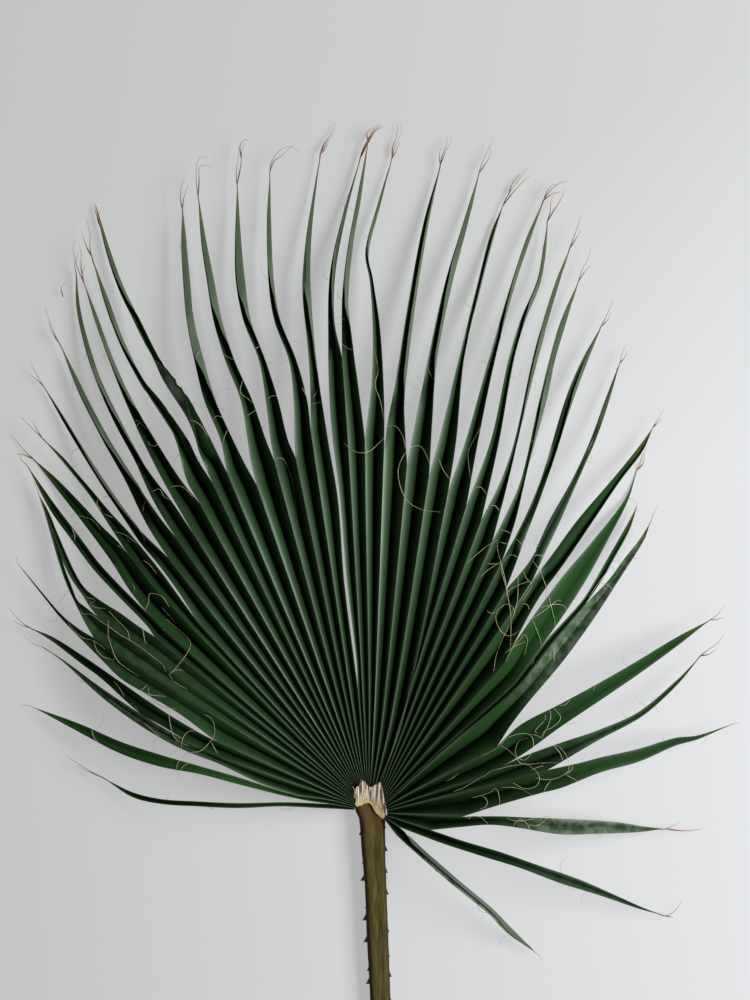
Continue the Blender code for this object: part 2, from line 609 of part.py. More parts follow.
def make_stalk(collection, material):
    """The leaf stalk, its broad head and the rib that runs on under the blade, with its spines."""
    mesh = bmesh.new()
    rings = []
    for sheet_y, left, right, bottom, top in STALK_SECTIONS:
        ring = []
        for x, z in stalk_section(left, right, bottom, top):
            flat = on_leaf((x, sheet_y))
            ring.append(mesh.verts.new(Vector((flat.x, flat.y, z)) * MM))
        rings.append(ring)
    for near, far in zip(rings, rings[1:]):
        for index in range(len(near)):
            after = (index + 1) % len(near)
            mesh.faces.new((near[index], near[after], far[after], far[index]))
    mesh.faces.new(rings[0])
    mesh.faces.new(rings[-1])
    bmesh.ops.recalc_face_normals(mesh, faces=mesh.faces)
    bmesh.ops.triangulate(mesh, faces=mesh.faces)
    data = bpy.data.meshes.new("petiole")
    mesh.to_mesh(data)
    mesh.free()
    data.materials.append(material)
    stalk = bpy.data.objects.new("petiole", data)
    collection.objects.link(stalk)

    spines = new_collection("spines")
    for side, points in enumerate((LEFT_SPINES, RIGHT_SPINES)):
        for point in points:
            add_spine(spines, point, stalk_edges(point[1])[side])
    union = stalk.modifiers.new("Grown spines", "BOOLEAN")
    union.operation = "UNION"
    union.operand_type = "COLLECTION"
    union.collection = spines
    union.solver = "EXACT"
    bpy.context.view_layer.objects.active = stalk
    with bpy.context.temp_override(object=stalk, active_object=stalk):
        bpy.ops.object.modifier_apply(modifier=union.name)
    for spine in list(spines.objects):
        bpy.data.objects.remove(spine, do_unlink=True)
    bpy.data.collections.remove(spines)
    return stalk


def make_papery_crown(collection, material):
    """The thin ragged crown that stands over the joint between stalk and blade."""
    mesh = bmesh.new()
    columns = []
    for foot, edge, edge_height in CROWN_PAPER:
        foot = on_leaf(foot).to_3d()
        foot.z = CROWN_PAPER_FOOT_HEIGHT
        edge = on_leaf(edge).to_3d()
        edge.z = edge_height
        column = []
        for row in range(CROWN_PAPER_ROWS):
            share = row / (CROWN_PAPER_ROWS - 1)
            point = foot.lerp(edge, share)
            point.z = mix(foot.z, edge.z, share ** 1.4)
            column.append(mesh.verts.new(point * MM))
        columns.append(column)
    for near, far in zip(columns, columns[1:]):
        for row in range(CROWN_PAPER_ROWS - 1):
            mesh.faces.new((near[row], far[row], far[row + 1], near[row + 1]))
    bmesh.ops.triangulate(mesh, faces=mesh.faces)
    data = bpy.data.meshes.new("hastula")
    mesh.to_mesh(data)
    mesh.free()
    data.materials.append(material)
    crown = bpy.data.objects.new("hastula", data)
    collection.objects.link(crown)
    shell = crown.modifiers.new("Paper thickness", "SOLIDIFY")
    shell.thickness = CROWN_PAPER_THICKNESS * MM
    shell.offset = 0.0
    return crown


def main():
    clear_scene()
    leaf = new_collection("fan_palm_leaf")
    leaf_green = make_material("leaf green", (0.035, 0.075, 0.035), 0.4)
    stalk_brown = make_material("stalk brown", (0.11, 0.075, 0.025), 0.45)
    paper_tan = make_material("crown tan", (0.55, 0.38, 0.26), 0.8)
    make_blade(leaf, leaf_green)
    make_stalk(leaf, stalk_brown)
    make_papery_crown(leaf, paper_tan)


main()
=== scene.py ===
"""Fan palm leaf, dressed: the pleated blade in fine mesh, the spiny stalk, the papery crown, and the
hairs and loose threads that the leaf carries. It lies flat, upper side up, seen from straight above.
"""

import math
import random

import bmesh
import bpy
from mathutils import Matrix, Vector, noise
from mathutils.bvhtree import BVHTree


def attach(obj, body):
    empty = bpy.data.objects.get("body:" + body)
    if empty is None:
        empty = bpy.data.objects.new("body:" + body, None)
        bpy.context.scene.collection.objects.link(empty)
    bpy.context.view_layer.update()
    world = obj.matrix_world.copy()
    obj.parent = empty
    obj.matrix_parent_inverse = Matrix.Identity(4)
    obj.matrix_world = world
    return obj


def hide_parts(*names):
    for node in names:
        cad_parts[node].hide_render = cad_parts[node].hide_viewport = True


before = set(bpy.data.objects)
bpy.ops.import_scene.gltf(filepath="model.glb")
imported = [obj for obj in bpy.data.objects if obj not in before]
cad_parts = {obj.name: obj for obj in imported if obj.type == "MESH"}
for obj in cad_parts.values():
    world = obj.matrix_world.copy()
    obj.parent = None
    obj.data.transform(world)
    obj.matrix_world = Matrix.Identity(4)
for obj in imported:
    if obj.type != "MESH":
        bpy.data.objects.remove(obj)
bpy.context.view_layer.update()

MM = 0.001

# Layout sheet: millimetres from its left and top edges, the hub is the origin
HUB_ON_SHEET = (372.0, 815.0)
SHEET_MIDDLE = (375.0, 500.0)
SHEET_HEIGHT = 1000.0

# Blade form, in millimetres, as in the solid
HUB_RING_CENTRE = (370.0, 813.0)
HUB_HEIGHT = 15.9
CROWN_HEIGHT = 46.0
CROWN_AT = 0.5
TIP_HEIGHT = 9.0
TIP_SPREAD = 6.0
LOW_TIP_HEIGHT = 0.35
LOW_TIPS = ("S09", "S35")
FOLD_AT_HUB = 0.8
FOLD_IN_FAN = 1.15
FOLD_FULL_RADIUS = 110.0
FLAT_SEGMENTS = ("S02", "S05", "S06", "S07", "S35", "S37", "S38", "S40")
FLAT_IN_FAN = 0.45
FLAT_PAST_SPLITS = 0.12
FLAT_FROM = 130.0
FLAT_RUN = 90.0
OPEN_FOLD = 0.32
UPRIGHT_TURN = 0.3
MOST_FLAP = 0.92
TURN_RUN = 40.0
TURN_FREE_RUN = 18.0
FOLD_RUN = 50.0

# Ring where the pleats start, a little inside the solid's, so that they run on under the crown
HUB_RING_HALF_WIDTH = 15.8
HUB_RING_HALF_HEIGHT = 25.0

# Fine surface of the blade
FINE_STEP = 5.5
COLUMNS_PER_HALF = 5
HALF_BULGE = 0.15
# What is left of that bulge in the flatter segments
FLAT_BULGE = 0.3
LEAF_THICKNESS = 0.42

# Camera, in metres
CAMERA_HEIGHT = 3.0
CAMERA_PLANE = 0.035

# Angle on the hub ring of the ridge before each numbered segment, in degrees; the rest lie between
RIDGE_ANGLES = ((0, 177.0), (1, 173.0), (2, 169.0), (20, 110.0), (24, 89.0), (28, 55.0), (43, -20.0))

# Ridge between neighbours: points from the hub outwards, the last one where the two split
RIDGES = (
    [(332, 805.5)],
    [(330, 801.5), (297, 796.5)],
    [(224, 758)],
    [(217, 741)],
    [(93, 638)],
    [(97, 617)],
    [(155, 636)],
    [(165, 630)],
    [(152, 585)],
    [(198, 621)],
    [(168, 557)],
    [(176, 537)],
    [(198, 540)],
    [(200, 503)],
    [(213, 483)],
    [(227, 472)],
    [(257, 485)],
    [(275, 462)],
    [(296, 458)],
    [(311, 431)],
    [(358, 690)],
    [(362, 680), (355, 560), (348, 440), (342, 358)],
    [(369, 680), (366, 520), (365, 440)],
    [(375, 700), (384, 452)],
    [(383, 715), (407, 465)],
    [(392, 715), (429, 475)],
    [(403, 720), (448, 491)],
    [(466, 506)],
    [(481, 520)],
    [(492, 541)],
    [(502, 560)],
    [(505, 590)],
    [(532, 580)],
    [(506, 660)],
    [(513, 683)],
    [(450, 745), (515, 688), (550, 645), (586, 604)],
    [(497, 746)],
    [(484, 776)],
    [(547, 769)],
    [(462, 817)],
    [(431, 831)],
    [(400, 829)],
)

# Segments clockwise from the lowest on the left. Margins run from the split to the tip, and fold is
# how far the segment stays shut past the split. Turn tells, from one sheet point to the next, how far
# the shut fold has rolled over: to the left above 0, to the right below it, right over at 1.
SEGMENTS = (
    dict(name="S01", fold=0.8, tip=(100, 780),
         left=[(320, 809), (280, 806), (240, 807), (200, 806), (160, 805), (130, 799)],
         right=[(300, 803), (280, 802), (240, 802), (200, 801), (160, 800), (130, 794)]),
    dict(name="S02", fold=0.1, tip=(30, 709),
         left=[(310, 802), (280, 795), (240, 784), (200, 773), (160, 766), (120, 754), (80, 735)],
         right=[(280, 791), (240, 777), (200, 765), (160, 754), (120, 742), (80, 726)]),
    dict(name="S03", fold=0.3, tip=(40, 648),
         left=[(260, 783), (220, 763), (180, 747), (140, 725), (100, 697), (60, 662)],
         right=[(180, 736), (140, 713), (100, 688), (60, 660)]),
    dict(name="S04", fold=0.2, tip=(27, 629),
         left=[(200, 747), (160, 724), (140, 713), (100, 679), (80, 665), (50, 643)],
         right=[(200, 732), (160, 708), (120, 682), (80, 656), (50, 638)]),
    dict(name="S05", fold=0.5, tip=(17, 567),
         left=[(180, 713), (140, 690), (120, 678), (100, 659), (80, 640), (60, 620), (40, 596)],
         right=[(80, 631), (60, 616), (40, 594)]),
    dict(name="S06", fold=0.2, tip=(38, 500),
         left=[(85, 625), (78, 612), (72, 600), (66, 588), (59, 570), (52, 548)],
         right=[(85, 608), (76, 601), (70, 587), (63, 570), (56, 548)]),
    dict(name="S07", fold=0.4, tip=(36, 495),
         left=[(88, 606), (83, 598), (67, 575), (49, 535), (42, 515)],
         right=[(140, 627), (120, 613), (100, 601), (83, 588), (72, 571), (54, 532), (46, 513)]),
    dict(name="S08", fold=0.8, tip=(24, 465),
         left=[(147, 625), (117, 595), (92, 569), (72, 543), (47, 509)],
         right=[(153, 618), (123, 589), (98, 563), (78, 537), (53, 505)]),
    dict(name="S09", fold=0.0, tip=(30, 459),
         left=[(150, 615), (130, 591), (110, 561), (80, 522), (55, 491), (40, 472)],
         right=[(140, 570), (120, 545), (100, 526), (80, 505), (55, 480), (40, 467)]),
    dict(name="S10", fold=0.3, tip=(40, 438),
         left=[(130, 557), (110, 528), (90, 498), (75, 479), (60, 461)],
         right=[(180, 597), (160, 570), (130, 534), (110, 513), (90, 490), (75, 473), (60, 456)]),
    dict(name="S11", fold=0.9, tip=(40, 385),
         left=[(180, 593), (160, 566), (140, 543), (120, 514), (100, 485), (80, 454), (60, 421)],
         right=[(140, 530), (120, 505), (100, 477), (80, 447), (60, 415)],
         turn=[(141, 535, 0.25), (112, 498, 0.62), (95, 470, 0.68), (75, 440, 0.4), (55, 405, 0.5)]),
    dict(name="S12", fold=0.8, tip=(58, 345),
         left=[(144, 520), (124, 480), (101, 440), (80, 400), (71, 380)],
         right=[(162, 520), (134, 480), (108, 440), (86, 400), (76, 380)],
         turn=[(140, 500, 0.25), (118, 460, 0.6), (100, 435, 0.85), (83, 400, 0.9), (74, 380, 1.0)]),
    dict(name="S13", fold=0.8, tip=(73, 270),
         left=[(153, 500), (134, 460), (112, 420), (94, 380), (85, 355), (77, 325), (73, 300)],
         right=[(190, 528), (171, 500), (155, 480), (141, 460), (119, 420), (99, 380), (90, 355),
                (81, 325), (76, 300)],
         turn=[(150, 485, 0.1), (138, 460, 0.3), (120, 430, 0.5), (107, 400, 0.75), (97, 375, 0.95)]),
    dict(name="S14", fold=0.8, tip=(82, 282),
         left=[(186, 520), (163, 480), (142, 440), (124, 400), (108, 360), (93, 320)],
         right=[(181, 480), (155, 440), (131, 400), (112, 360), (97, 320)],
         turn=[(150, 445, 0.15), (139, 412, 0.3), (128, 395, 0.6), (116, 372, 0.9), (110, 355, 1.0)]),
    dict(name="S15", fold=0.8, tip=(91, 260),
         left=[(187, 480), (176, 440), (164, 420), (138, 380), (117, 340), (102, 300)],
         right=[(198, 460), (188, 440), (160, 400), (143, 380), (122, 340), (107, 300)],
         turn=[(190, 465, 0.0), (177, 440, -0.3), (163, 420, -0.5), (152, 395, -0.45),
               (143, 385, -0.25), (135, 373, 0.25), (129, 360, 0.55), (121, 340, 0.8),
               (104, 300, 0.9)]),
    dict(name="S16", fold=0.9, tip=(92, 200),
         left=[(203, 460), (188, 420), (163, 380), (153, 360), (135, 325), (117, 289), (103, 248)],
         right=[(211, 440), (190, 400), (176, 380), (160, 360), (140, 322), (122, 287), (107, 247)],
         turn=[(212, 470, 0.0), (200, 445, -0.3), (191, 420, -0.62), (180, 395, -0.9),
               (160, 365, -0.9), (153, 356, -0.4), (140, 330, -0.2), (125, 298, 0.6), (110, 262, 0.9)]),
    dict(name="S17", fold=0.9, tip=(181, 207),
         left=[(221, 440), (204, 400), (194, 360), (186, 320), (182, 280), (180, 240)],
         right=[(243, 460), (215, 400), (203, 360), (193, 320), (189, 280), (185, 240)],
         turn=[(232, 445, 0.0), (214, 396, 0.3), (206, 380, 0.5), (193, 352, 1.0)]),
    dict(name="S18", fold=0.9, tip=(197, 195),
         left=[(251, 460), (248, 440), (241, 400), (225, 360), (213, 320), (206, 280), (200, 240)],
         right=[(266, 440), (252, 400), (234, 360), (221, 320), (213, 280), (205, 240)],
         turn=[(250, 400, 0.0), (228, 348, 0.3), (220, 325, 0.6), (207, 300, 0.95)]),
    dict(name="S19", fold=0.9, tip=(236, 182),
         left=[(271, 440), (266, 400), (259, 360), (243, 320), (235, 280), (234, 240)],
         right=[(288, 440), (278, 400), (265, 360), (250, 320), (244, 280), (240, 240)],
         turn=[(270, 385, 0.0), (253, 333, 0.3), (245, 310, 0.65), (236, 288, 0.95)]),
    dict(name="S20", fold=0.9, tip=(269, 170),
         left=[(295, 440), (294, 400), (289, 360), (274, 320), (268, 280), (266, 220)],
         right=[(307, 400), (296, 360), (280, 320), (273, 280), (270, 220)],
         turn=[(300, 395, 0.0), (283, 330, 0.3), (277, 300, 0.5), (269, 280, 0.8), (267, 262, 1.0)]),
    dict(name="S21", fold=0.9, tip=(320, 150),
         left=[(310, 380), (307, 340), (302, 290), (305, 240), (311, 200)],
         right=[(354, 660), (344, 580), (338, 500), (328, 440), (316, 360), (310, 280), (312, 220)],
         turn=[(325, 420, 0.05), (318, 385, 0.25), (313, 350, 0.42), (309, 310, 0.62),
               (303, 283, 0.88), (303, 270, 1.0)]),
    dict(name="S22", fold=0.9, tip=(360, 155),
         left=[(356.5, 660), (347, 580), (340.5, 500), (331, 420), (328, 340), (330, 270), (343, 210)],
         right=[(334, 320), (335, 270), (346, 210)],
         turn=[(337, 360, 0.05), (334, 325, 0.3), (331, 300, 0.55), (330, 275, 0.75),
               (334, 250, 0.95)]),
    dict(name="S23", fold=0.8, tip=(368, 138),
         left=[(342, 300), (347, 250), (356, 200)],
         right=[(360, 400), (352, 340), (348, 300), (353, 240), (360, 200)],
         turn=[(352, 370, 0.05), (349, 328, 0.3), (346, 300, 0.75), (346, 275, 0.97)]),
    dict(name="S24", fold=0.7, tip=(392, 155),
         left=[(372, 380), (373, 330), (370, 280), (365.5, 250), (378, 200)],
         right=[(384, 400), (380, 330), (373, 280), (368.5, 250), (381, 200)],
         turn=[(375, 330, 0.1), (370, 275, 0.25), (367, 256, 0.5), (368, 240, 0.9), (374, 215, 1.0)]),
    dict(name="S25", fold=0.9, tip=(441, 162),
         left=[(388, 420), (396, 380), (409, 300), (424, 220)],
         right=[(404, 410), (406, 380), (416, 300), (429, 220)],
         turn=[(405, 430, 0.1), (404, 398, 0.3), (406, 370, 0.55), (410, 330, 0.62), (430, 200, 0.6)]),
    dict(name="S26", fold=0.9, tip=(480, 170),
         left=[(412, 440), (428, 360), (446, 280), (464, 220)],
         right=[(432, 420), (437, 360), (453, 280), (469, 220)],
         turn=[(432, 420, 0.1), (434, 385, 0.3), (437, 350, 0.55), (443, 320, 0.6), (450, 285, 0.78),
               (456, 255, 0.95)]),
    dict(name="S27", fold=0.9, tip=(504, 203),
         left=[(439, 440), (459, 360), (479, 280), (492, 230)],
         right=[(456, 440), (464, 360), (483, 280), (496, 230)],
         turn=[(460, 390, 0.05), (464, 348, 0.28), (471, 315, 0.5), (480, 275, 0.58), (500, 210, 0.5)]),
    dict(name="S28", fold=0.9, tip=(545, 198),
         left=[(466, 440), (489, 360), (513, 280), (528, 235)],
         right=[(478, 440), (495, 360), (517, 280), (532, 235)],
         turn=[(490, 370, 0.1), (497, 338, 0.3), (503, 318, 0.6), (509, 295, 0.85), (515, 275, 1.0)]),
    dict(name="S29", fold=0.9, tip=(549, 219),
         left=[(491, 440), (509, 360), (521, 320), (538, 280), (544, 250)],
         right=[(499, 440), (514, 360), (526, 320), (542, 280), (547, 250)],
         turn=[(507, 375, 0.05), (518, 335, 0.3), (524, 312, 0.6), (530, 298, 0.9)]),
    dict(name="S30", fold=0.9, tip=(571, 247),
         left=[(501, 480), (515, 440), (533, 360), (544, 320), (557, 280)],
         right=[(508, 480), (518, 440), (538, 360), (549, 320), (561, 280)],
         turn=[(508, 475, 0.2), (516, 440, 0.4), (520, 420, 0.55), (524, 400, 0.78), (535, 355, 0.85),
               (545, 320, 0.95)]),
    dict(name="S31", fold=0.9, tip=(580, 280),
         left=[(503, 520), (521, 480), (540, 400), (550, 360), (562, 320)],
         right=[(515, 520), (525, 480), (547, 400), (556, 360), (568, 320)],
         turn=[(512, 515, 0.1), (520, 485, 0.3), (529, 455, 0.6), (537, 418, 0.72), (543, 395, 0.85),
               (570, 300, 0.92)]),
    dict(name="S32", fold=0.8, tip=(603, 325),
         left=[(524, 520), (541, 480), (566, 400), (583, 360)],
         right=[(532, 520), (547, 480), (574, 400), (589, 360)],
         turn=[(512, 560, 0.0), (524, 530, -0.35), (534, 505, -0.5), (543, 480, -0.25),
               (549, 460, 0.1), (556, 435, 0.3), (566, 410, 0.45), (575, 385, 0.6), (592, 345, 0.75)]),
    dict(name="S33", fold=0.8, tip=(622, 362),
         left=[(530, 560), (550, 520), (573, 480), (592, 440), (607, 400)],
         right=[(561, 520), (579, 480), (597, 440), (611, 400)],
         turn=[(532, 560, -0.1), (540, 545, -0.4), (552, 520, -0.5), (570, 485, -0.5),
               (582, 460, -0.45), (592, 440, -0.65), (602, 415, -0.95)]),
    dict(name="S34", fold=0.3, tip=(655, 427),
         left=[(548, 560), (578, 520), (613, 480), (638, 450)],
         right=[(514, 642), (537, 600), (566, 560), (594, 520), (622, 480), (645, 450)],
         turn=[(560, 560, 0.2), (585, 520, 0.25), (630, 465, 0.12)]),
    dict(name="S35", fold=0.0, tip=(640, 470),
         left=[(516, 640), (560, 580), (595, 540), (627, 500)],
         right=[(530, 660), (560, 620), (587, 580), (610, 540), (631, 500)]),
    dict(name="S36", fold=0.4, tip=(640, 505),
         left=[(545, 641), (566, 619), (584, 599), (597, 579), (609, 559), (628, 527)],
         right=[(602, 582), (614, 562), (632, 530)]),
    dict(name="S37", fold=0.1, tip=(652, 523),
         left=[(610, 580), (625, 560), (641, 540)],
         right=[(510, 725), (529, 700), (563, 660), (593, 620), (620, 580), (646, 540)]),
    dict(name="S38", fold=0.2, tip=(712, 621),
         left=[(520, 724), (560, 703), (600, 682), (640, 660), (680, 637)],
         right=[(520, 755), (560, 726), (600, 700), (640, 674), (680, 646)]),
    dict(name="S39", fold=0.1, tip=(703, 657),
         left=[(520, 757), (560, 742), (600, 729), (640, 712), (680, 680)],
         right=[(580, 750), (600, 739), (640, 719), (660, 704), (684, 681)]),
    dict(name="S40", fold=0.1, tip=(735, 726),
         left=[(580, 762), (600, 757), (640, 749), (677, 739), (700, 737)],
         right=[(500, 804), (540, 792), (560, 787), (600, 772), (640, 762), (677, 747), (700, 741)]),
    dict(name="S41", fold=0.2, tip=(668, 832),
         left=[(500, 815.5), (540, 817), (580, 819.5), (620, 824), (645, 829)],
         right=[(460, 827), (490, 824), (520, 827), (560, 834), (600, 835), (640, 835)]),
    dict(name="S42", fold=0.4, tip=(668, 920),
         left=[(460, 840), (500, 851), (540, 865), (580, 880), (620, 899), (645, 911)],
         right=[(440, 843), (480, 855), (520, 867), (560, 883), (600, 897), (640, 912)]),
    dict(name="S43", fold=0.8, tip=(537, 957),
         left=[(422, 849), (452, 874), (492, 909), (512, 931)],
         right=[(398, 838), (418, 855), (448, 880), (488, 914), (508, 936)],
         turn=[(395, 832, -0.3), (412, 845, -0.62), (490, 910, -0.62), (520, 940, -0.9)]),
)

STALK_HEIGHT = 14.4

# Leaf stalk sections: sheet y, left edge, right edge, underside height, top height
STALK_SECTIONS = (
    (1115, 375.5, 394.5, 0.0, 11.5),
    (1060, 373.0, 392.5, 0.0, 12.0),
    (1000, 370.2, 390.3, 0.0, 12.6),
    (935, 366.7, 388.0, 0.0, 13.2),
    (889, 365.0, 386.3, 0.0, 13.7),
    (860, 362.2, 385.2, 0.0, 14.0),
    (822, 359.5, 385.0, 0.0, STALK_HEIGHT),
    (812, 354.5, 387.5, 0.0, STALK_HEIGHT),
    (800, 352.5, 388.5, 0.0, STALK_HEIGHT),
    (788, 355.0, 385.5, 2.5, STALK_HEIGHT),
    (768, 360.0, 381.0, 6.5, STALK_HEIGHT),
    (745, 366.0, 377.0, 10.6, STALK_HEIGHT),
)

# Stalk spines: sheet position of each point, and its reach out of the stalk
LEFT_SPINES = ((358.5, 838), (361.6, 866.5), (360.0, 884), (365.6, 912), (362.0, 924), (363.0, 946),
               (366.7, 975), (365.6, 988), (367.0, 1016), (370.5, 1041), (368.0, 1066), (371.5, 1090))
RIGHT_SPINES = ((386.0, 831), (388.0, 854), (388.0, 876), (389.0, 898), (389.7, 936), (389.9, 961),
                (392.0, 981), (393.5, 1009), (394.0, 1034), (395.5, 1058), (396.5, 1084))

# Papery crown, left to right: foot on the stalk, torn top edge and how high the edge stands
CROWN_PAPER = (
    ((355.0, 806.5), (352.8, 788.0), 19.5),
    ((355.8, 807.5), (354.6, 790.8), 19.5),
    ((356.4, 808.6), (356.4, 788.8), 20.0),
    ((358.0, 808.8), (358.8, 786.6), 20.5),
    ((359.5, 807.6), (360.4, 782.0), 22.0),
    ((361.5, 808.0), (362.4, 781.8), 22.5),
    ((363.4, 806.0), (364.8, 783.6), 22.0),
    ((366.0, 805.4), (366.8, 786.0), 21.5),
    ((369.5, 805.2), (369.6, 788.6), 20.5),
    ((371.8, 807.6), (372.6, 788.2), 20.5),
    ((373.4, 811.2), (376.0, 785.4), 22.0),
    ((376.2, 815.4), (379.2, 783.0), 22.5),
    ((379.6, 818.6), (381.4, 786.8), 22.0),
    ((382.4, 821.2), (383.4, 795.0), 21.0),
    ((385.0, 822.4), (384.8, 804.0), 19.5),
    ((386.8, 822.0), (386.8, 812.0), 18.0),
)
CROWN_PAPER_FOOT_HEIGHT = 15.1

# Hairs at the segment tips: sheet points from the tip outwards
TIP_HAIRS = {
    "S01": [[(100, 780), (88, 774), (72, 764), (62, 757)], [(100, 780), (84, 773), (74, 768)]],
    "S02": [[(30, 709), (25, 707), (18, 707)]],
    "S03": [[(40, 648), (32, 645), (22, 637)]],
    "S04": [[(27, 629), (16, 621), (5, 608)], [(27, 629), (18, 626), (10, 621)]],
    "S05": [[(17, 567), (14, 562), (15, 556)]],
    "S06": [[(38, 500), (34, 488), (30, 480)]],
    "S08": [[(24, 465), (18, 459), (16, 452)]],
    "S09": [[(30, 459), (20, 449), (8, 435)], [(30, 459), (22, 455), (13, 453)]],
    "S10": [[(40, 438), (30, 428), (18, 416)], [(40, 438), (33, 426), (31, 418)]],
    "S11": [[(40, 385), (35, 376), (28, 363), (27, 356)], [(40, 385), (34, 379), (25, 372)]],
    "S12": [[(58, 345), (51, 331), (45, 315), (42, 305)], [(57, 343), (49, 330), (46, 321)]],
    "S13": [[(73, 270), (72, 262), (75, 252)], [(60, 295), (58, 286), (63, 279)]],
    "S14": [[(82, 282), (75, 265), (71, 250), (72, 241), (77, 238)],
            [(82, 282), (79, 266), (79, 250), (76, 242)],
            [(82, 282), (80, 272), (85, 262)]],
    "S15": [[(91, 260), (88, 246), (88, 232), (84, 216)], [(89, 254), (84, 244), (80, 232)]],
    "S16": [[(100, 231), (97, 221), (96, 211), (100, 203)], [(98, 226), (95, 217), (92, 206), (90, 199)]],
    "S17": [[(181, 207), (179, 197), (180, 184), (184, 172)], [(181, 207), (183, 195), (187, 183)]],
    "S18": [[(197, 195), (195, 176), (196, 161), (200, 155), (207, 154)],
            [(197, 195), (198, 178), (198, 166), (203, 163), (212, 165)]],
    "S19": [[(236, 182), (235, 170), (237, 155), (238, 144)],
            [(236, 182), (240, 162), (241, 147), (244, 140)],
            [(240, 155), (239, 144), (242, 138), (248, 137)]],
    "S20": [[(269, 170), (271, 159), (278, 149), (288, 144), (299, 149)],
            [(269, 170), (273, 159), (282, 152), (290, 144), (295, 141)]],
    "S21": [[(320, 150), (323, 141), (329, 132), (336, 119)],
            [(320, 150), (326, 139), (332, 131), (335, 124)],
            [(321, 150), (324, 146), (329, 137)]],
    "S22": [[(360, 155), (363, 145), (369, 133), (378, 123), (382, 121)],
            [(360, 155), (366, 143), (370, 131), (374, 124)],
            [(361, 153), (368, 137), (376, 126), (384, 124)]],
    "S23": [[(368, 138), (371, 131), (376, 124), (380, 119)], [(368, 138), (367, 130), (372, 124)],
            [(368, 140), (374, 130), (382, 123)]],
    "S24": [[(392, 155), (394, 146), (398, 137), (402, 128), (401, 119)],
            [(392, 155), (393, 143), (397, 132), (398, 120)], [(392, 155), (397, 146), (400, 138)]],
    "S25": [[(441, 162), (443, 152), (447, 142), (448, 133)],
            [(441, 162), (446, 149), (451, 140), (452, 134)],
            [(441, 162), (440, 150), (444, 143)]],
    "S26": [[(480, 170), (484, 158), (489, 147), (493, 136)],
            [(480, 170), (487, 160), (492, 150), (491, 143)]],
    "S27": [[(504, 203), (510, 191), (519, 178), (531, 163)],
            [(504, 203), (514, 190), (524, 179), (533, 171)],
            [(510, 192), (514, 180), (523, 170)]],
    "S28": [[(545, 198), (551, 189), (560, 181), (570, 178)],
            [(545, 198), (549, 188), (556, 181), (559, 186)],
            [(545, 198), (554, 191), (564, 189)]],
    "S29": [[(549, 219), (552, 208), (553, 197), (558, 189)],
            [(549, 219), (556, 207), (563, 196), (567, 186)]],
    "S30": [[(571, 247), (575, 236), (579, 225), (583, 212)], [(571, 247), (578, 236), (583, 227)]],
    "S31": [[(580, 280), (584, 268), (590, 256), (593, 245)], [(580, 280), (588, 268), (595, 262)]],
    "S32": [[(603, 325), (608, 315), (612, 306), (615, 297)], [(603, 325), (609, 319), (613, 311)]],
    "S33": [[(622, 362), (624, 353), (628, 344)], [(622, 362), (627, 356), (630, 350)]],
    "S34": [[(655, 427), (660, 419), (664, 412), (668, 406)], [(655, 427), (660, 422), (664, 418)]],
    "S35": [[(640, 470), (644, 459), (650, 445)], [(640, 470), (646, 463), (648, 452)]],
    "S37": [[(652, 523), (655, 515), (660, 505)]],
    "S38": [[(712, 621), (719, 616), (727, 607)], [(712, 621), (720, 620), (728, 618)]],
    "S39": [[(703, 657), (710, 651), (719, 645), (727, 635)], [(703, 657), (712, 655), (719, 650)]],
    "S40": [[(735, 726), (739, 725), (742, 723)]],
    "S41": [[(668, 832), (676, 829), (683, 825)], [(668, 832), (688, 834), (707, 832)]],
    "S42": [[(668, 920), (675, 917), (681, 911), (685, 905)], [(668, 920), (676, 921)]],
    "S43": [[(537, 957), (541, 960), (544, 965)]],
}

# Segments whose rolled edge is torn, with the distances from the hub it is torn between
RAGGED = {"S15": (412.0, 482.0), "S16": (405.0, 510.0)}
RAGGED_DEPTH = 3.2
RAGGED_WAVE = 0.09

# Segments with a pale waxy bloom, and the flatter ones that show a fresher green
BLOOMED = {"S03": 0.14, "S05": 0.06, "S06": 0.1, "S07": 0.06, "S37": 0.42, "S39": 0.06,
           "S40": 0.02, "S41": 0.34, "S42": 0.05, "S43": 0.75}
BLOOM_FROM = {"S43": 0.2}
FRESH = {"S02": 0.75, "S05": 0.2, "S06": 0.35, "S09": 0.3, "S34": 0.2, "S35": 0.35, "S37": 0.45,
         "S38": 0.4, "S39": 0.2, "S40": 0.22}

TIP_HAIR_RADII = (0.3, 0.68, 0.42, 0.3, 0.16)
# Where the first hair of a tip starts inside the lobe, back from its tip
TIP_HAIR_LEAD = (13.0, 6.5)
TIP_HAIR_DROP = 3.0
TIP_HAIR_LOWEST = 0.8
TIP_HAIR_STEP = 1.6
TIP_HAIR_SIZES = (0.75, 1.1)
HAIR_SIDES = 5

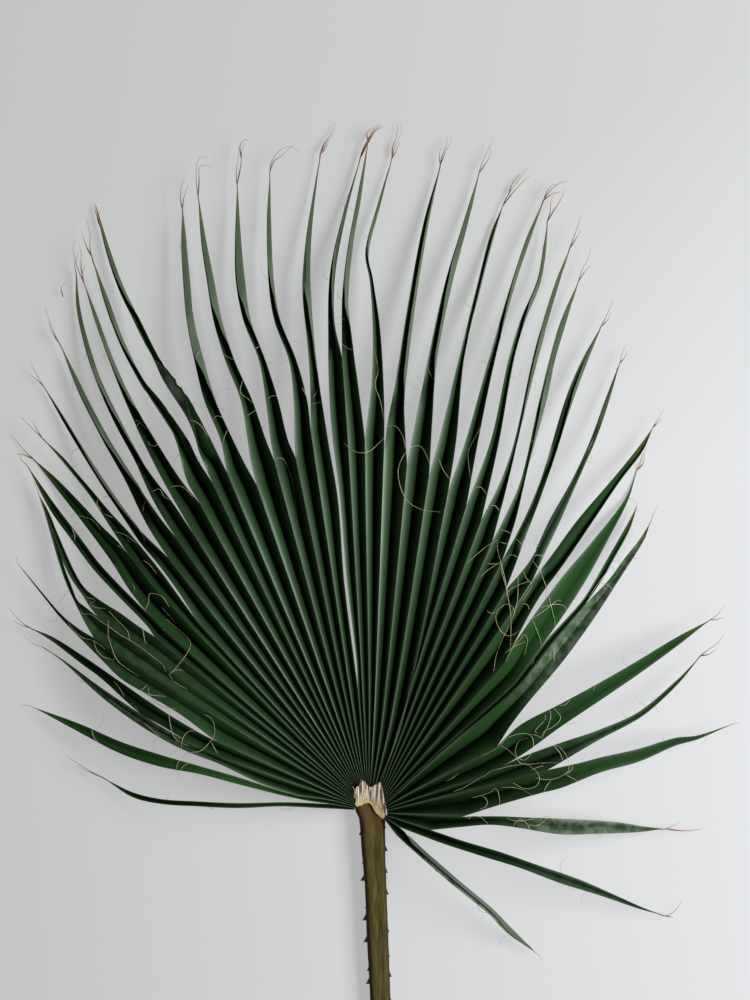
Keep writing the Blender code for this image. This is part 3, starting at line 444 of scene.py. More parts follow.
# Loose threads over the blade, in sheet millimetres
LOOSE_THREADS = (
    ((440, 512), (420, 509), (405, 498), (398, 475), (402, 458), (412, 447), (422, 448), (430, 465)),
    ((386, 427), (395, 426), (402, 435), (406, 450)),
    ((344, 443), (352, 450), (360, 453), (370, 451), (378, 444), (384, 438)),
    ((374, 348), (378, 370), (375, 385), (380, 400), (384, 420)),
    ((276, 460), (279, 458), (284, 460), (289, 470), (293, 485), (297, 512)),
    ((213, 420), (217, 416), (223, 418), (227, 421)),
    ((222, 447), (225, 436), (228, 430)),
    ((222, 353), (228, 357), (234, 360)),
    ((243, 380), (240, 392), (247, 398), (253, 403)),
    ((247, 416), (256, 410)),
    ((267, 399), (272, 396), (278, 396)),
    ((318, 389), (313, 398)),
    ((302, 388), (306, 395), (309, 403)),
    ((342, 344), (347, 348), (352, 350)),
    ((200, 350), (195, 357)),
    ((254, 349), (259, 346)),
    ((470, 478), (468, 455), (472, 443), (482, 425)),
    ((438, 458), (443, 470), (450, 480)),
    ((427, 367), (433, 380)),
    ((472, 489), (480, 487), (486, 494)),
    ((489, 505), (495, 506), (499, 511)),
    ((516, 539), (523, 546)),
    ((534, 555.5), (539, 555), (544, 557.5)),
    ((532, 560), (540, 572), (545.5, 586), (549, 599), (552.6, 613), (554.7, 621.6), (554, 628.6)),
    ((528.6, 620), (540, 613), (550, 606), (557, 600.4), (561, 601)),
    ((540, 607.5), (554, 604.3), (564, 606), (566.7, 612.4)),
    ((531.4, 618.7), (537, 631.4), (541.3, 645.5)),
    ((505.3, 661), (510.3, 650), (518.7, 640), (523.7, 634.2), (527.2, 641.3), (523.7, 654.7)),
    ((504.6, 652.6), (511.7, 647), (524.4, 641.3)),
    ((493.3, 671), (496.2, 655.4), (503.2, 637), (509, 624.4)),
    ((497, 541), (497.6, 552), (500.4, 562), (504.6, 579), (507.4, 596), (510.3, 616), (510.3, 640),
     (509, 651)),
    ((499.7, 559.5), (501.8, 573.6), (505.3, 586.3), (506.3, 596)),
    ((517.3, 573.6), (517.3, 596), (514.5, 610), (511.7, 618.7)),
    ((512.4, 616), (513.8, 610.3), (510.3, 605.3), (504.6, 604.2), (497, 610.3), (495.5, 618.7),
     (499, 628.6),
     (506, 635), (513, 634.2), (518.7, 630)),
    ((466.5, 563), (483.5, 548.2), (497, 539.7)),
    ((486.3, 563.7), (499, 563.7)),
    ((479.2, 577.8), (486.3, 570.8), (499, 562.3)),
    ((499.7, 530), (504.6, 530.6), (510.3, 533.4)),
    ((499, 542), (507.4, 544)),
    ((503.2, 561), (510.3, 554.6), (517.3, 557.4)),
    ((523, 571), (525.8, 578), (531.4, 583.5), (528.6, 581.4), (520, 584), (510.3, 589), (504.6, 596)),
    ((521.5, 601.8), (531.4, 586.3)),
    ((521.5, 603.2), (527.2, 604.6), (528.6, 609)),
    ((486.3, 610.3), (490.5, 613), (494.8, 611.7)),
    ((600.5, 583.5), (607.6, 585), (613.2, 590.5)),
    ((589.3, 597.6), (600.5, 582), (611.8, 568)),
    ((552.6, 647), (554, 652.6), (553.3, 661)),
    ((552.8, 707.2), (559.5, 715), (558, 721), (550.8, 726.7), (543.6, 730.3), (541, 736.4)),
    ((548.7, 708.7), (550, 715), (548.7, 721), (545.6, 728.2), (541.5, 736)),
    ((543, 713.8), (545, 716), (543.6, 719.5), (538.5, 725), (534.2, 730.8), (536.4, 731.8)),
    ((481, 756.4), (493.3, 749.7), (500, 745), (505.6, 738.5), (513.8, 734.4), (525, 732.8), (531.3, 736.4),
     (532.8, 742.6), (531.8, 748.7), (528.2, 756), (524, 759), (519, 758), (515, 752.8), (516, 745.6),
     (519, 740.5), (527, 737)),
    ((500, 745), (506.7, 748.7), (515, 756), (519.5, 762), (527, 764), (540.5, 762.6), (552.8, 762),
     (561, 762.6)),
    ((529, 733.3), (535.4, 734.4), (541.5, 737.4)),
    ((524, 762), (530.3, 766.2), (536.4, 771.3), (539, 777.4), (537.4, 783.6), (532.3, 787.2),
     (526.2, 788.2),
     (520, 786.7), (512.3, 782)),
    ((530.3, 769.7), (536.4, 766.7), (542.6, 765)),
    ((483.6, 776.4), (491.3, 770.3), (499.5, 768.2), (509.7, 765.6), (521, 764)),
    ((551.8, 744), (558, 745.6), (563, 750.8), (567.2, 759), (568, 769), (563, 773.8), (555, 778),
     (543.6, 779),
     (534.4, 777)),
    ((552.3, 744), (559, 751.8), (562, 759)),
    ((571.3, 764), (571.3, 768.2), (567.2, 772.3), (563, 775)),
    ((550.8, 779.5), (545.6, 785.6), (542.6, 792.3)),
    ((566.2, 774.4), (576.4, 780)),
    ((472.8, 798.5), (488.2, 793.3), (495.4, 788.7), (498.5, 793.8), (499.5, 801), (498.5, 805)),
    ((481, 796), (485, 798), (487.2, 802), (485, 806.7), (479, 809)),
    ((500.5, 787.2), (511.8, 787.2), (520, 788.7), (527.2, 791.8), (533.3, 795.4)),
    ((464.6, 816.4), (469.7, 819), (470.8, 816.4), (479, 816.4), (484, 819.5), (487.2, 822.6)),
    ((505.6, 816.4), (510.8, 819), (520, 820), (528.2, 818.5), (535.4, 816.4)),
    ((512.3, 826.7), (513.8, 822.6), (519, 818.5), (524, 820.5), (527.7, 824.6), (528.2, 828.7)),
    ((528.2, 823), (534.4, 825), (540.5, 822.6), (546.7, 817.4)),
    ((558, 704.6), (564, 704), (569.2, 699.5)),
    ((446, 782.6), (452, 779.5), (458.5, 774.4)),
    ((454, 792), (464, 788), (472, 783), (484, 775.4)),
    ((108, 621), (108, 635), (111.4, 647.4), (117, 660), (127, 668.6), (139, 675.7)),
    ((166, 619), (182, 632), (189.7, 640.4), (190.4, 647.4), (183.4, 658.7), (174.2, 670), (170, 673),
     (173.5, 680)),
    ((171.4, 672.8), (176.3, 669.3), (183.4, 670)),
    ((173.5, 680), (179, 684), (187.6, 688.4)),
    ((89, 605.8), (96, 608), (104.4, 608.7)),
    ((84.6, 597.4), (93, 599.5)),
    ((108, 610.8), (117, 620.6), (127, 630.5), (130, 640.4)),
    ((142.5, 626.3), (144, 634.8), (146, 643.2)),
    ((76, 613.6), (90.3, 615), (98.7, 620.6), (110, 627.7), (120, 634.8), (135.4, 643.2),
     (155, 657.3), (163.6, 664.4),
     (166.4, 671.4)),
    ((66.3, 623.5), (73.3, 632), (81.8, 638.3), (90.3, 640.4), (98.7, 644.6), (104.4, 649)),
    ((93, 640.4), (96, 650.3), (103, 657.3), (114, 660)),
    ((145.3, 609.4), (148.8, 602.3), (149.5, 594), (156.6, 594), (163.6, 597.4), (169.3, 606.5)),
    ((162, 607.3), (176.3, 623.5)),
    ((141, 689.8), (147.4, 685.5)),
    ((149.5, 687), (149.5, 692.6), (155, 701), (163.6, 706.7), (176.3, 707.8)),
    ((139.6, 689), (149.5, 694), (166.4, 696)),
    ((168.5, 708), (170.7, 722), (173.5, 733.5), (179, 740.5), (189, 744.8)),
    ((182, 747.6), (183.4, 737.7), (189, 730.7), (197.5, 730)),
    ((204.5, 713.7), (211.6, 718), (215, 726.4), (213.7, 736.3), (207.3, 744.8), (200.3, 750.4),
     (190.4, 751.8),
     (182, 757.5), (177.7, 764.5), (178.4, 777.2)),
    ((211.6, 742), (218, 753)),
    ((181, 768.7), (184.8, 764.5), (189, 762.4)),
    ((90.3, 730.7), (92.4, 737.7), (96.6, 743.4)),
    ((113, 681.3), (120, 689.8), (124, 696.8)),
    ((144, 722), (152, 729), (162, 737.7)),
    ((592, 690.3), (595, 685)),
    ((74, 515), (90, 520), (99, 530)),
    ((104, 514), (112, 518)),
    ((170, 487), (180, 486), (187, 490), (193, 497)),
    ((152, 492), (158, 489), (161, 490), (165, 497), (172, 500)),
    ((142, 512), (144, 505), (146, 500)),
    ((133, 420), (138, 421), (142, 425), (147, 430)),
    ((147, 441), (150, 445), (155, 446), (158, 443)),
    ((190, 420), (196, 422), (202, 427), (207, 436)),
    ((70, 528), (73, 535), (73, 541)),
    ((117, 545), (125, 552), (132, 560)),
    ((112, 532), (120, 533), (128, 537), (136, 543)),
    ((96, 500), (96, 505), (100, 510)),
    ((143, 560), (150, 565), (157, 574)),
    ((140, 530), (143, 535), (145, 541)),
)
THREAD_STEP = 1.6
THREAD_LIFT = 0.45
THREAD_RADII = (0.12, 0.24, 0.27, 0.24, 0.12)
THREAD_TOP = 48.0
THREAD_CAST_FROM = 100.0
THREAD_ON_FLOOR = 0.6
THREAD_HELD_ABOVE = 1.0
THREAD_SAG = 0.8
THREAD_PASSES = 60

# Short curled fibres that the free margins shed
FIBRES_A_SEGMENT = (2, 4)
FIBRE_RADII = (0.22, 0.17, 0.1)
FIBRE_SIDES = 4
FIBRE_STEP = 1.2
FIBRE_PLACES = (0.08, 0.9)
FIBRE_TURN = 1.1
FIBRE_BEND = (0.15, 0.6)
FIBRE_BENDS = (3, 7)
FIBRE_RISE = (-0.5, 0.25)
FIBRE_MOVE = (1.8, 4.2)
FIBRE_LOWEST = 0.6

# Stalk spines hook towards the cut end: length of their root along the stalk, and half its thickness
SPINE_RUN = 11.0
SPINE_ROOT_RADIUS = 1.4
SPINE_SIDES = 12
SPINE_RINGS = 8
SPINE_LEAST_RUN = 3.0
SPINE_LEAST_REACH = 1.3
SPINE_FULL_REACH = 2.6
SPINE_ROOT_IN = 1.2
STALK_SIDES = 56
STALK_STEP = 6.0
STALK_HEAD_END = 850.0
STALK_HEAD_FADE = 40.0
STALK_WAVE = 0.35
STALK_SIDE_PROFILE = ((0.25, 0.0), (0.42, 0.16), (0.5, 0.5), (0.46, 0.84), (0.3, 1.0))
STALK_GROOVE = 0.93

# Papery crown
CROWN_COLUMNS = 120
CROWN_ROWS = 34
CROWN_PAPER_THICKNESS = 0.45

# Slits in the crown: place across it, lean, lower and upper end up its height, and half width
CROWN_SLITS = ((0.115, -0.03, 0.30, 1.5, 0.012), (0.255, 0.0, 0.28, 0.84, 0.018),
               (0.53, -0.06, 0.45, 1.5, 0.016))


def smooth(value):
    value = min(max(value, 0.0), 1.0)
    return value * value * (3.0 - 2.0 * value)


def mix(first, second, share):
    return first + (second - first) * share


def on_leaf(point):
    """Turn a sheet point into leaf millimetres, x right and y up from the hub."""
    return Vector((point[0] - HUB_ON_SHEET[0], HUB_ON_SHEET[1] - point[1]))


def curve_at(points, radius):
    """Point of a smooth curve through points, at the given distance from the hub."""
    radii = [point.length for point in points]
    index = 0
    while index < len(points) - 2 and radius > radii[index + 1]:
        index += 1
    before = max(index - 1, 0)
    after = min(index + 2, len(points) - 1)
    span = radii[index + 1] - radii[index]
    share = min(max((radius - radii[index]) / span, 0.0), 1.0)
    slope_in = (points[index + 1] - points[before]) / (radii[index + 1] - radii[before])
    slope_out = (points[after] - points[index]) / (radii[after] - radii[index])
    square = share * share
    cube = square * share
    return (points[index] * (2 * cube - 3 * square + 1)
            + slope_in * (cube - 2 * square + share) * span
            + points[index + 1] * (3 * square - 2 * cube)
            + slope_out * (cube - square) * span)


def ridge_angle(index):
    """Angle on the hub ring where a ridge starts, in radians."""
    for (low, low_angle), (high, high_angle) in zip(RIDGE_ANGLES, RIDGE_ANGLES[1:]):
        if index <= high:
            return math.radians(mix(low_angle, high_angle, (index - low) / (high - low)))
    return math.radians(RIDGE_ANGLES[-1][1])


def ridge_start(index):
    angle = ridge_angle(index)
    return on_leaf((HUB_RING_CENTRE[0] + HUB_RING_HALF_WIDTH * math.cos(angle),
                    HUB_RING_CENTRE[1] - HUB_RING_HALF_HEIGHT * math.sin(angle)))


def arch(share):
    """Height of the blade along a segment, 0 at the hub and 1 at the tip."""
    if share < CROWN_AT:
        return mix(HUB_HEIGHT, CROWN_HEIGHT, smooth(share / CROWN_AT))
    return mix(CROWN_HEIGHT, TIP_HEIGHT, smooth((share - CROWN_AT) / (1.0 - CROWN_AT)))


def flap_share(turn):
    """Share of the segment's width that the half rolled over it covers."""
    return MOST_FLAP * max(abs(turn) - UPRIGHT_TURN, 0.0) / (1.0 - UPRIGHT_TURN)


class Segment:
    """One pleated segment between two ridges, with its own margins past the splits."""

    def __init__(self, index, entry, tip_height):
        self.tip = on_leaf(entry["tip"])
        self.reach = self.tip.length
        self.fold = entry["fold"]
        self.flat = entry["name"] in FLAT_SEGMENTS
        self.turn = [(on_leaf((x, y)).length, amount) for x, y, amount in entry.get("turn", ())]
        self.tip_lift = tip_height - TIP_HEIGHT
        self.index = index

    def join(self, ridges, reaches, entry):
        """Take the ridges at both sides and lay the margins from the hub to the tip."""
        self.sides = []
        for side, name in enumerate(("left", "right")):
            ridge = ridges[self.index + side]
            split = ridge[-1].length
            free = [on_leaf(point) for point in entry[name]]
            free = [point for point in free if point.length > split + 3.0]
            self.sides.append(dict(ridge=ridge, split=split, ridge_reach=reaches[self.index + side],
                                   margin=[ridge[-1]] + free + [self.tip]))
        self.free_from = max(side["split"] for side in self.sides)
        left, right = self.flat_margins(self.free_from)
        half_width = (right - left).length / 2
        self.half_blade = half_width * math.hypot(1.0, self.fan_fold(self.free_from))

    def fan_fold(self, radius):
        fold = mix(FOLD_AT_HUB, FOLD_IN_FAN, smooth(radius / FOLD_FULL_RADIUS))
        return mix(fold, FLAT_IN_FAN, smooth((radius - FLAT_FROM) / FLAT_RUN)) if self.flat else fold

    def flat_margins(self, radius):
        points = []
        for side in self.sides:
            fused = radius <= side["split"] and len(side["ridge"]) > 1
            points.append(curve_at(side["ridge"] if fused else side["margin"], radius))
        return points

    def share(self, side, radius):
        """How far along the segment a margin point lies, from 0 at the hub to 1 at the tip."""
        if radius <= side["split"]:
            return radius / side["ridge_reach"]
        start = side["split"] / side["ridge_reach"]
        return mix(start, 1.0, (radius - side["split"]) / (self.reach - side["split"]))

    def height(self, side, radius):
        share = self.share(side, radius)
        start = min(side["split"] / side["ridge_reach"], 0.9)
        return arch(share) + self.tip_lift * smooth((share - start) / (1.0 - start))

    def turned(self, radius):
        """How far the shut fold has rolled over at a distance from the hub."""
        before = (self.turn[0][0] - TURN_RUN, 0.0) if self.turn else (0.0, 0.0)
        for point in self.turn:
            if radius <= point[0]:
                share = smooth((radius - before[0]) / (point[0] - before[0]))
                return mix(before[1], point[1], share)
            before = point
        return before[1]

    def section(self, radius):
        """Left margin, midrib and right margin of the segment, at a distance from the hub."""
        left, right = self.flat_margins(radius)
        centre = (left + right) / 2
        across = (right - left) / 2
        half_width = across.length
        past = radius - self.free_from
        shut = smooth(past / FOLD_RUN)
        taper = 1.0 - min(max(past / (self.reach - self.free_from), 0.0), 1.0) ** 1.3
        width = self.half_blade * taper
        open_drop = (FLAT_PAST_SPLITS if self.flat else OPEN_FOLD) * half_width
        shut_drop = math.sqrt(max(width * width - half_width * half_width, open_drop * open_drop))
        drop = mix(self.fan_fold(radius) * half_width, mix(open_drop, shut_drop, self.fold), shut)
        flank = math.hypot(half_width, drop)
        turn = self.turned(radius) * smooth(past / TURN_FREE_RUN)
        rib = min(abs(turn) / UPRIGHT_TURN, 1.0)
        places = [-1.0, rib, 1.0 - 2.0 * flap_share(turn)]
        if turn < 0:
            places = [-place for place in reversed(places)]
        drops = [math.sqrt(max(flank ** 2 - ((places[1] - places[end]) * half_width) ** 2,
                               (0.2 * flank) ** 2)) for end in (0, 2)]
        heights = [self.height(side, radius) for side in self.sides]
        tilt = (drops[0] - drops[1]) / 2
        middle = sum(heights) / 2 - sum(drops) / 2
        levels = (heights[0] + tilt, middle, heights[1] - tilt)
        return [Vector((*(centre + across * place), level)) for place, level in zip(places, levels)]


def lay_out_segments():
    """All the segments, joined along their ridges."""
    draw = random.Random(11)
    segments = []
    for index, entry in enumerate(SEGMENTS):
        tip_height = TIP_HEIGHT + draw.uniform(-TIP_SPREAD, TIP_SPREAD)
        if entry["name"] in LOW_TIPS:
            tip_height = LOW_TIP_HEIGHT
        segments.append(Segment(index, entry, tip_height))
    last = len(segments)
    ridges = []
    reaches = []
    for index in range(last + 1):
        inner = RIDGES[index - 1] if 0 < index < last else []
        ridges.append([ridge_start(index)] + [on_leaf(point) for point in inner])
        beside = segments[max(index - 1, 0):min(index + 1, last)]
        reaches.append(sum(segment.reach for segment in beside) / len(beside))
    for segment, entry in zip(segments, SEGMENTS):
        segment.join(ridges, reaches, entry)
    return segments


def stations(start, end, step):
    """Distances between two ends, at whole steps from the hub so that neighbouring rows line up."""
    first = math.ceil(start / step + 0.4)
    last = math.floor(end / step - 0.4)
    return [start] + [number * step for number in range(first, last + 1)] + [end]


def stitch(mesh, left, right, tone, tone_layer):
    """Fill the strip between two rows of (distance, vertex) with triangles."""
    i = j = 0
    while i < len(left) - 1 or j < len(right) - 1:
        next_left = left[i + 1][0] if i + 1 < len(left) else math.inf
        next_right = right[j + 1][0] if j + 1 < len(right) else math.inf
        if next_left <= next_right:
            corners = (left[i][1], right[j][1], left[i + 1][1])
            i += 1
        else:
            corners = (left[i][1], right[j][1], right[j + 1][1])
            j += 1
        if len(set(corners)) == 3:
            mesh.faces.new(corners)[tone_layer] = tone


def half_point(margin, rib, inward, share, half_bulge):
    """Point across one half of a segment, from margin to midrib, bulging towards the upper face."""
    chord = rib - margin
    reach_in = chord.x * inward.x + chord.y * inward.y
    upper = Vector((-chord.z * inward.x, -chord.z * inward.y, reach_in))
    return margin.lerp(rib, share) + upper * (math.sin(math.pi * share) * half_bulge)


def build_blade_sheet(segments):
    """The blade's sheet in fine rows, its folds joined along the ridges, with values for the shading."""
    mesh = bmesh.new()
    rib_share = mesh.verts.layers.float.new("rib_share")
    from_rib = mesh.verts.layers.float.new("from_rib")
    along = mesh.verts.layers.float.new("along")
    bloom = mesh.verts.layers.float.new("bloom")
    fresh = mesh.verts.layers.float.new("fresh")
    opened = mesh.verts.layers.float.new("opened")
    tone_layer = mesh.faces.layers.float.new("segment_tone")
    ridge_rows = {}
    draw = random.Random(23)

    def vertex(point, share, width, length_share):
        new = mesh.verts.new(point * MM)
        new[rib_share] = share
        new[from_rib] = share * width * MM
        new[along] = length_share
        new[bloom] = BLOOMED.get(name, 0.0) * smooth((length_share - BLOOM_FROM.get(name, 0.4)) / 0.2)
        new[opened] = smooth((length_share - 0.15) / 0.3) if name in FLAT_SEGMENTS else 0.0
        new[fresh] = FRESH.get(name, 0.0) * smooth((length_share - 0.1) / 0.3)
        return new

    for segment, entry in zip(segments, SEGMENTS):
        name = entry["name"]
        tone = draw.random()
        reach = segment.reach
        tip = segment.tip.to_3d()
        tip.z = TIP_HEIGHT + segment.tip_lift
        tip_row = (reach, vertex(tip, 0.5, 1.0, 1.0))

        torn = RAGGED.get(name, (0.0, 0.0))

        def across(radius):
            points = segment.section(radius)
            if torn[0] < radius < torn[1]:
                bite = RAGGED_DEPTH * abs(noise.noise(Vector((radius * RAGGED_WAVE, segment.index, 0.0)))) * 2.0
                inward = (points[1] - points[0]).normalized() * bite
                points = [points[0] + inward, points[1], points[2] + inward]
            return points

        margins = []
        for place, side in ((0, segment.sides[0]), (2, segment.sides[1])):
            number = segment.index + place // 2
            start = side["ridge"][0].length
            if number not in ridge_rows:
                radii = stations(start, side["split"], FINE_STEP) if side["split"] > start else [start]
                ridge_rows[number] = [(radius, vertex(across(radius)[place], 1.0, segment.half_blade,
                                                      radius / reach)) for radius in radii]
            own = [(radius, vertex(across(radius)[place], 1.0, segment.half_blade, radius / reach))
                   for radius in stations(side["split"], reach, FINE_STEP)[1:-1]]
            margins.append(ridge_rows[number] + own + [tip_row])

        start = min(margins[0][0][0], margins[1][0][0])
        inner_radii = stations(start, reach, FINE_STEP)[:-1]
        rows = [margins[0]]
        for half, margin_place, sign in ((0, 0, 1.0), (1, 2, -1.0)):
            steps = range(1, COLUMNS_PER_HALF) if half == 0 else range(COLUMNS_PER_HALF - 1, 0, -1)
            columns = []
            for step in steps:
                share = step / COLUMNS_PER_HALF
                row = []
                for radius in inner_radii:
                    points = across(radius)
                    inward = (points[2] - points[0]).to_2d().normalized() * sign
                    bulge = HALF_BULGE * (1.0 - smooth(2.0 * flap_share(segment.turned(radius))))
                    if segment.flat:
                        bulge *= mix(1.0, FLAT_BULGE, smooth((radius - FLAT_FROM) / FLAT_RUN))
                    place = half_point(points[margin_place], points[1], inward, share, bulge)
                    row.append((radius, vertex(place, 1.0 - share, segment.half_blade, radius / reach)))
                columns.append(row + [tip_row])
            if half == 0:
                rib_row = [(radius, vertex(across(radius)[1], 0.0, 1.0, radius / reach))
                           for radius in inner_radii] + [tip_row]
                rows += columns + [rib_row]
            else:
                rows += columns + [margins[1]]
        for left, right in zip(rows, rows[1:]):
            stitch(mesh, left, right, tone, tone_layer)
    return mesh


def as_object(mesh, name):
    data = bpy.data.meshes.new(name)
    mesh.to_mesh(data)
    mesh.free()
    obj = bpy.data.objects.new(name, data)
    bpy.context.collection.objects.link(obj)
    return obj


def apply_modifiers(obj):
    bpy.ops.object.select_all(action="DESELECT")
    obj.select_set(True)
    bpy.context.view_layer.objects.active = obj
    for modifier in list(obj.modifiers):
        bpy.ops.object.modifier_apply(modifier=modifier.name)


def make_blade(segments, upper, under):
    blade = as_object(build_blade_sheet(segments), "pleated_blade")
    blade.data.materials.append(upper)
    blade.data.materials.append(under)
    shell = blade.modifiers.new("Leaf thickness", "SOLIDIFY")
    shell.thickness = LEAF_THICKNESS * MM
    shell.offset = -1.0
    shell.material_offset = 1
    shell.material_offset_rim = 0
    apply_modifiers(blade)
    blade.data.shade_smooth()
    bpy.ops.object.shade_smooth_by_angle(angle=math.radians(38.0))
    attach(blade, "root")
    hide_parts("blade")
    return blade


# Fine veins as radians of a sine wave a metre out from the midrib
VEIN_RIPPLE = 6500.0

BLACK = (0.0, 0.0, 0.0)
WHITE = (1.0, 1.0, 1.0)


class Nodes:
    """Short way to lay out a material's nodes."""

    def __init__(self, name, roughness, specular=0.5, coat=0.0, coat_roughness=0.2):
        self.material = bpy.data.materials.new(name)
        self.material.use_nodes = True
        self.tree = self.material.node_tree
        self.shader = self.tree.nodes["Principled BSDF"]
        self.shader.inputs["Roughness"].default_value = roughness
        self.shader.inputs["Specular IOR Level"].default_value = specular
        self.shader.inputs["Coat Weight"].default_value = coat
        self.shader.inputs["Coat Roughness"].default_value = coat_roughness

    def link(self, source, target):
        self.tree.links.new(source, target)

    def fill(self, socket, value):
        if isinstance(value, bpy.types.NodeSocket):
            self.link(value, socket)
        elif isinstance(value, tuple):
            socket.default_value = (*value, 1.0)
        else:
            socket.default_value = value

    def attribute(self, name):
        node = self.tree.nodes.new("ShaderNodeAttribute")
        node.attribute_name = name
        return node.outputs["Fac"]

    def object_place(self, scale=(1.0, 1.0, 1.0)):
        place = self.tree.nodes.new("ShaderNodeTexCoord")
        stretch = self.tree.nodes.new("ShaderNodeMapping")
        stretch.inputs["Scale"].default_value = scale
        self.link(place.outputs["Object"], stretch.inputs["Vector"])
        return stretch.outputs["Vector"]

    def noise(self, scale, detail=3.0, roughness=0.5, vector=None):
        node = self.tree.nodes.new("ShaderNodeTexNoise")
        node.inputs["Scale"].default_value = scale
        node.inputs["Detail"].default_value = detail
        node.inputs["Roughness"].default_value = roughness
        self.link(vector or self.object_place(), node.inputs["Vector"])
        return node.outputs["Fac"]

    def math(self, operation, first, second=0.0, third=0.0):
        node = self.tree.nodes.new("ShaderNodeMath")
        node.operation = operation
        self.fill(node.inputs[0], first)
        self.fill(node.inputs[1], second)
        self.fill(node.inputs[2], third)
        return node.outputs[0]

    def ramp(self, factor, *stops):
        """Colour or grey ramp; each stop is a place and a colour."""
        node = self.tree.nodes.new("ShaderNodeValToRGB")
        elements = node.color_ramp.elements
        while len(elements) < len(stops):
            elements.new(0.5)
        for element, (place, colour) in zip(elements, stops):
            element.position = place
            element.color = (*colour, 1.0)
        self.fill(node.inputs["Fac"], factor)
        return node.outputs["Color"]

    def blend(self, factor, first, second, kind="MIX"):
        node = self.tree.nodes.new("ShaderNodeMix")
        node.data_type = "RGBA"
        node.blend_type = kind
        self.fill(node.inputs["Factor"], factor)
        self.fill(node.inputs["A"], first)
        self.fill(node.inputs["B"], second)
        return node.outputs["Result"]

    def finish(self, colour, bumps=(), roughness=None):
        """Set the colour, the roughness pattern and a chain of bumps, each (height, strength, mm)."""
        self.fill(self.shader.inputs["Base Color"], colour)
        if roughness is not None:
            self.fill(self.shader.inputs["Roughness"], roughness)
        normal = None
        for height, strength, depth in bumps:
            bump = self.tree.nodes.new("ShaderNodeBump")
            bump.inputs["Strength"].default_value = strength
            bump.inputs["Distance"].default_value = depth * MM
            self.fill(bump.inputs["Height"], height)
            if normal is not None:
                self.link(normal, bump.inputs["Normal"])
            normal = bump.outputs["Normal"]
        if normal is not None:
            self.link(normal, self.shader.inputs["Normal"])
        return self.material


def browned_tip(look, along, colour):
    """The colour turned yellow green and then reddish brown at the very tip."""
    turned = look.ramp(along, (0.955, (0.10, 0.14, 0.045)), (0.985, (0.21, 0.115, 0.055)))
    return look.blend(look.ramp(along, (0.90, BLACK), (0.985, (0.85, 0.85, 0.85))), colour, turned)


def leaf_upper_material():
    """Dark waxy green of the upper side, glossier and paler towards the fold edges, browned at the tips; the
    colour carries painted shade down in the fold valleys, darkest near the hub, and a painted highlight along
    the ridges near the hub.
    """
    look = Nodes("waxy leaf green", 0.42, specular=0.4)
    mottle = look.noise(14.0, 4.0)
    tone = look.math("MULTIPLY_ADD", look.attribute("segment_tone"), 0.5, look.math("MULTIPLY", mottle, 0.5))
    green = look.ramp(tone, (0.2, (0.010, 0.034, 0.009)), (0.55, (0.016, 0.052, 0.012)),
                      (0.8, (0.026, 0.072, 0.016)))
    patches = look.noise(26.0, 3.0)
    brown = look.ramp(patches, (0.58, BLACK), (0.72, WHITE))
    green = look.blend(look.math("MULTIPLY", brown, 0.4), green, (0.024, 0.024, 0.009))
    bluish = look.ramp(patches, (0.28, WHITE), (0.42, BLACK))
    green = look.blend(look.math("MULTIPLY", bluish, 0.4), green, (0.010, 0.034, 0.024))
    along = look.attribute("along")
    near_hub = look.ramp(along, (0.02, WHITE), (0.42, BLACK))
    to_edge = look.math("POWER", look.attribute("rib_share"), look.math("MULTIPLY_ADD", near_hub, 3.0, 1.5))
    folded = look.math("MULTIPLY_ADD", look.attribute("opened"), -0.75, 1.0)
    # Painted shade: the green darkens down into each fold's valley, less on the segments that lie open.
    painted_valley_shade = look.ramp(to_edge, (0.0, (0.7, 0.7, 0.7)), (0.85, BLACK))
    green = look.blend(look.math("MULTIPLY", painted_valley_shade, folded), green, (0.005, 0.018, 0.004))
    # Painted shade near the hub: the fold valleys there darken almost to black.
    close = look.ramp(along, (0.08, WHITE), (0.4, BLACK))
    painted_hub_shade = look.ramp(to_edge, (0.2, (0.85, 0.85, 0.85)), (0.65, BLACK))
    green = look.blend(look.math("MULTIPLY", painted_hub_shade, close), green, (0.002, 0.008, 0.001))
    # Painted highlight: a pale grey-green line along the ridges near the hub.
    painted_hub_highlight = look.ramp(to_edge, (0.5, BLACK), (0.85, (0.85, 0.85, 0.85)))
    green = look.blend(look.math("MULTIPLY", painted_hub_highlight, close), green, (0.128, 0.152, 0.110))
    fresh = look.attribute("fresh")
    green = look.blend(look.math("MULTIPLY", fresh, 0.75), green, (0.034, 0.110, 0.026))
    blotches = look.ramp(look.noise(110.0, 3.0), (0.4, (0.25, 0.25, 0.25)), (0.56, WHITE))
    green = look.blend(look.math("MULTIPLY", look.attribute("bloom"), blotches), green, (0.30, 0.36, 0.27))
    edge = look.ramp(to_edge, (0.86, BLACK), (1.0, WHITE))
    green = look.blend(look.math("MULTIPLY", edge, 0.3), green, (0.075, 0.12, 0.045))
    green = browned_tip(look, along, green)
    veins = look.math("SINE", look.math("MULTIPLY", look.attribute("from_rib"), VEIN_RIPPLE))
    wrinkles = look.noise(90.0, 2.0)
    waxy = look.ramp(to_edge, (0.3, (0.62, 0.62, 0.62)), (0.95, (0.32, 0.32, 0.32)))
    rough = look.math("ADD", look.math("MULTIPLY_ADD", mottle, 0.12, -0.06), waxy)
    sheen = look.ramp(to_edge, (0.15, (0.05, 0.05, 0.05)), (0.7, (0.26, 0.26, 0.26)),
                      (1.0, (0.56, 0.56, 0.56)))
    sheen = look.math("MULTIPLY", sheen, look.math("MULTIPLY_ADD", fresh, -0.9, 1.0))
    look.fill(look.shader.inputs["Specular IOR Level"], sheen)
    look.fill(look.shader.inputs["Specular Tint"], (0.86, 1.0, 0.85))
    return look.finish(green, ((veins, 0.25, 0.12), (wrinkles, 0.15, 0.5)), rough)


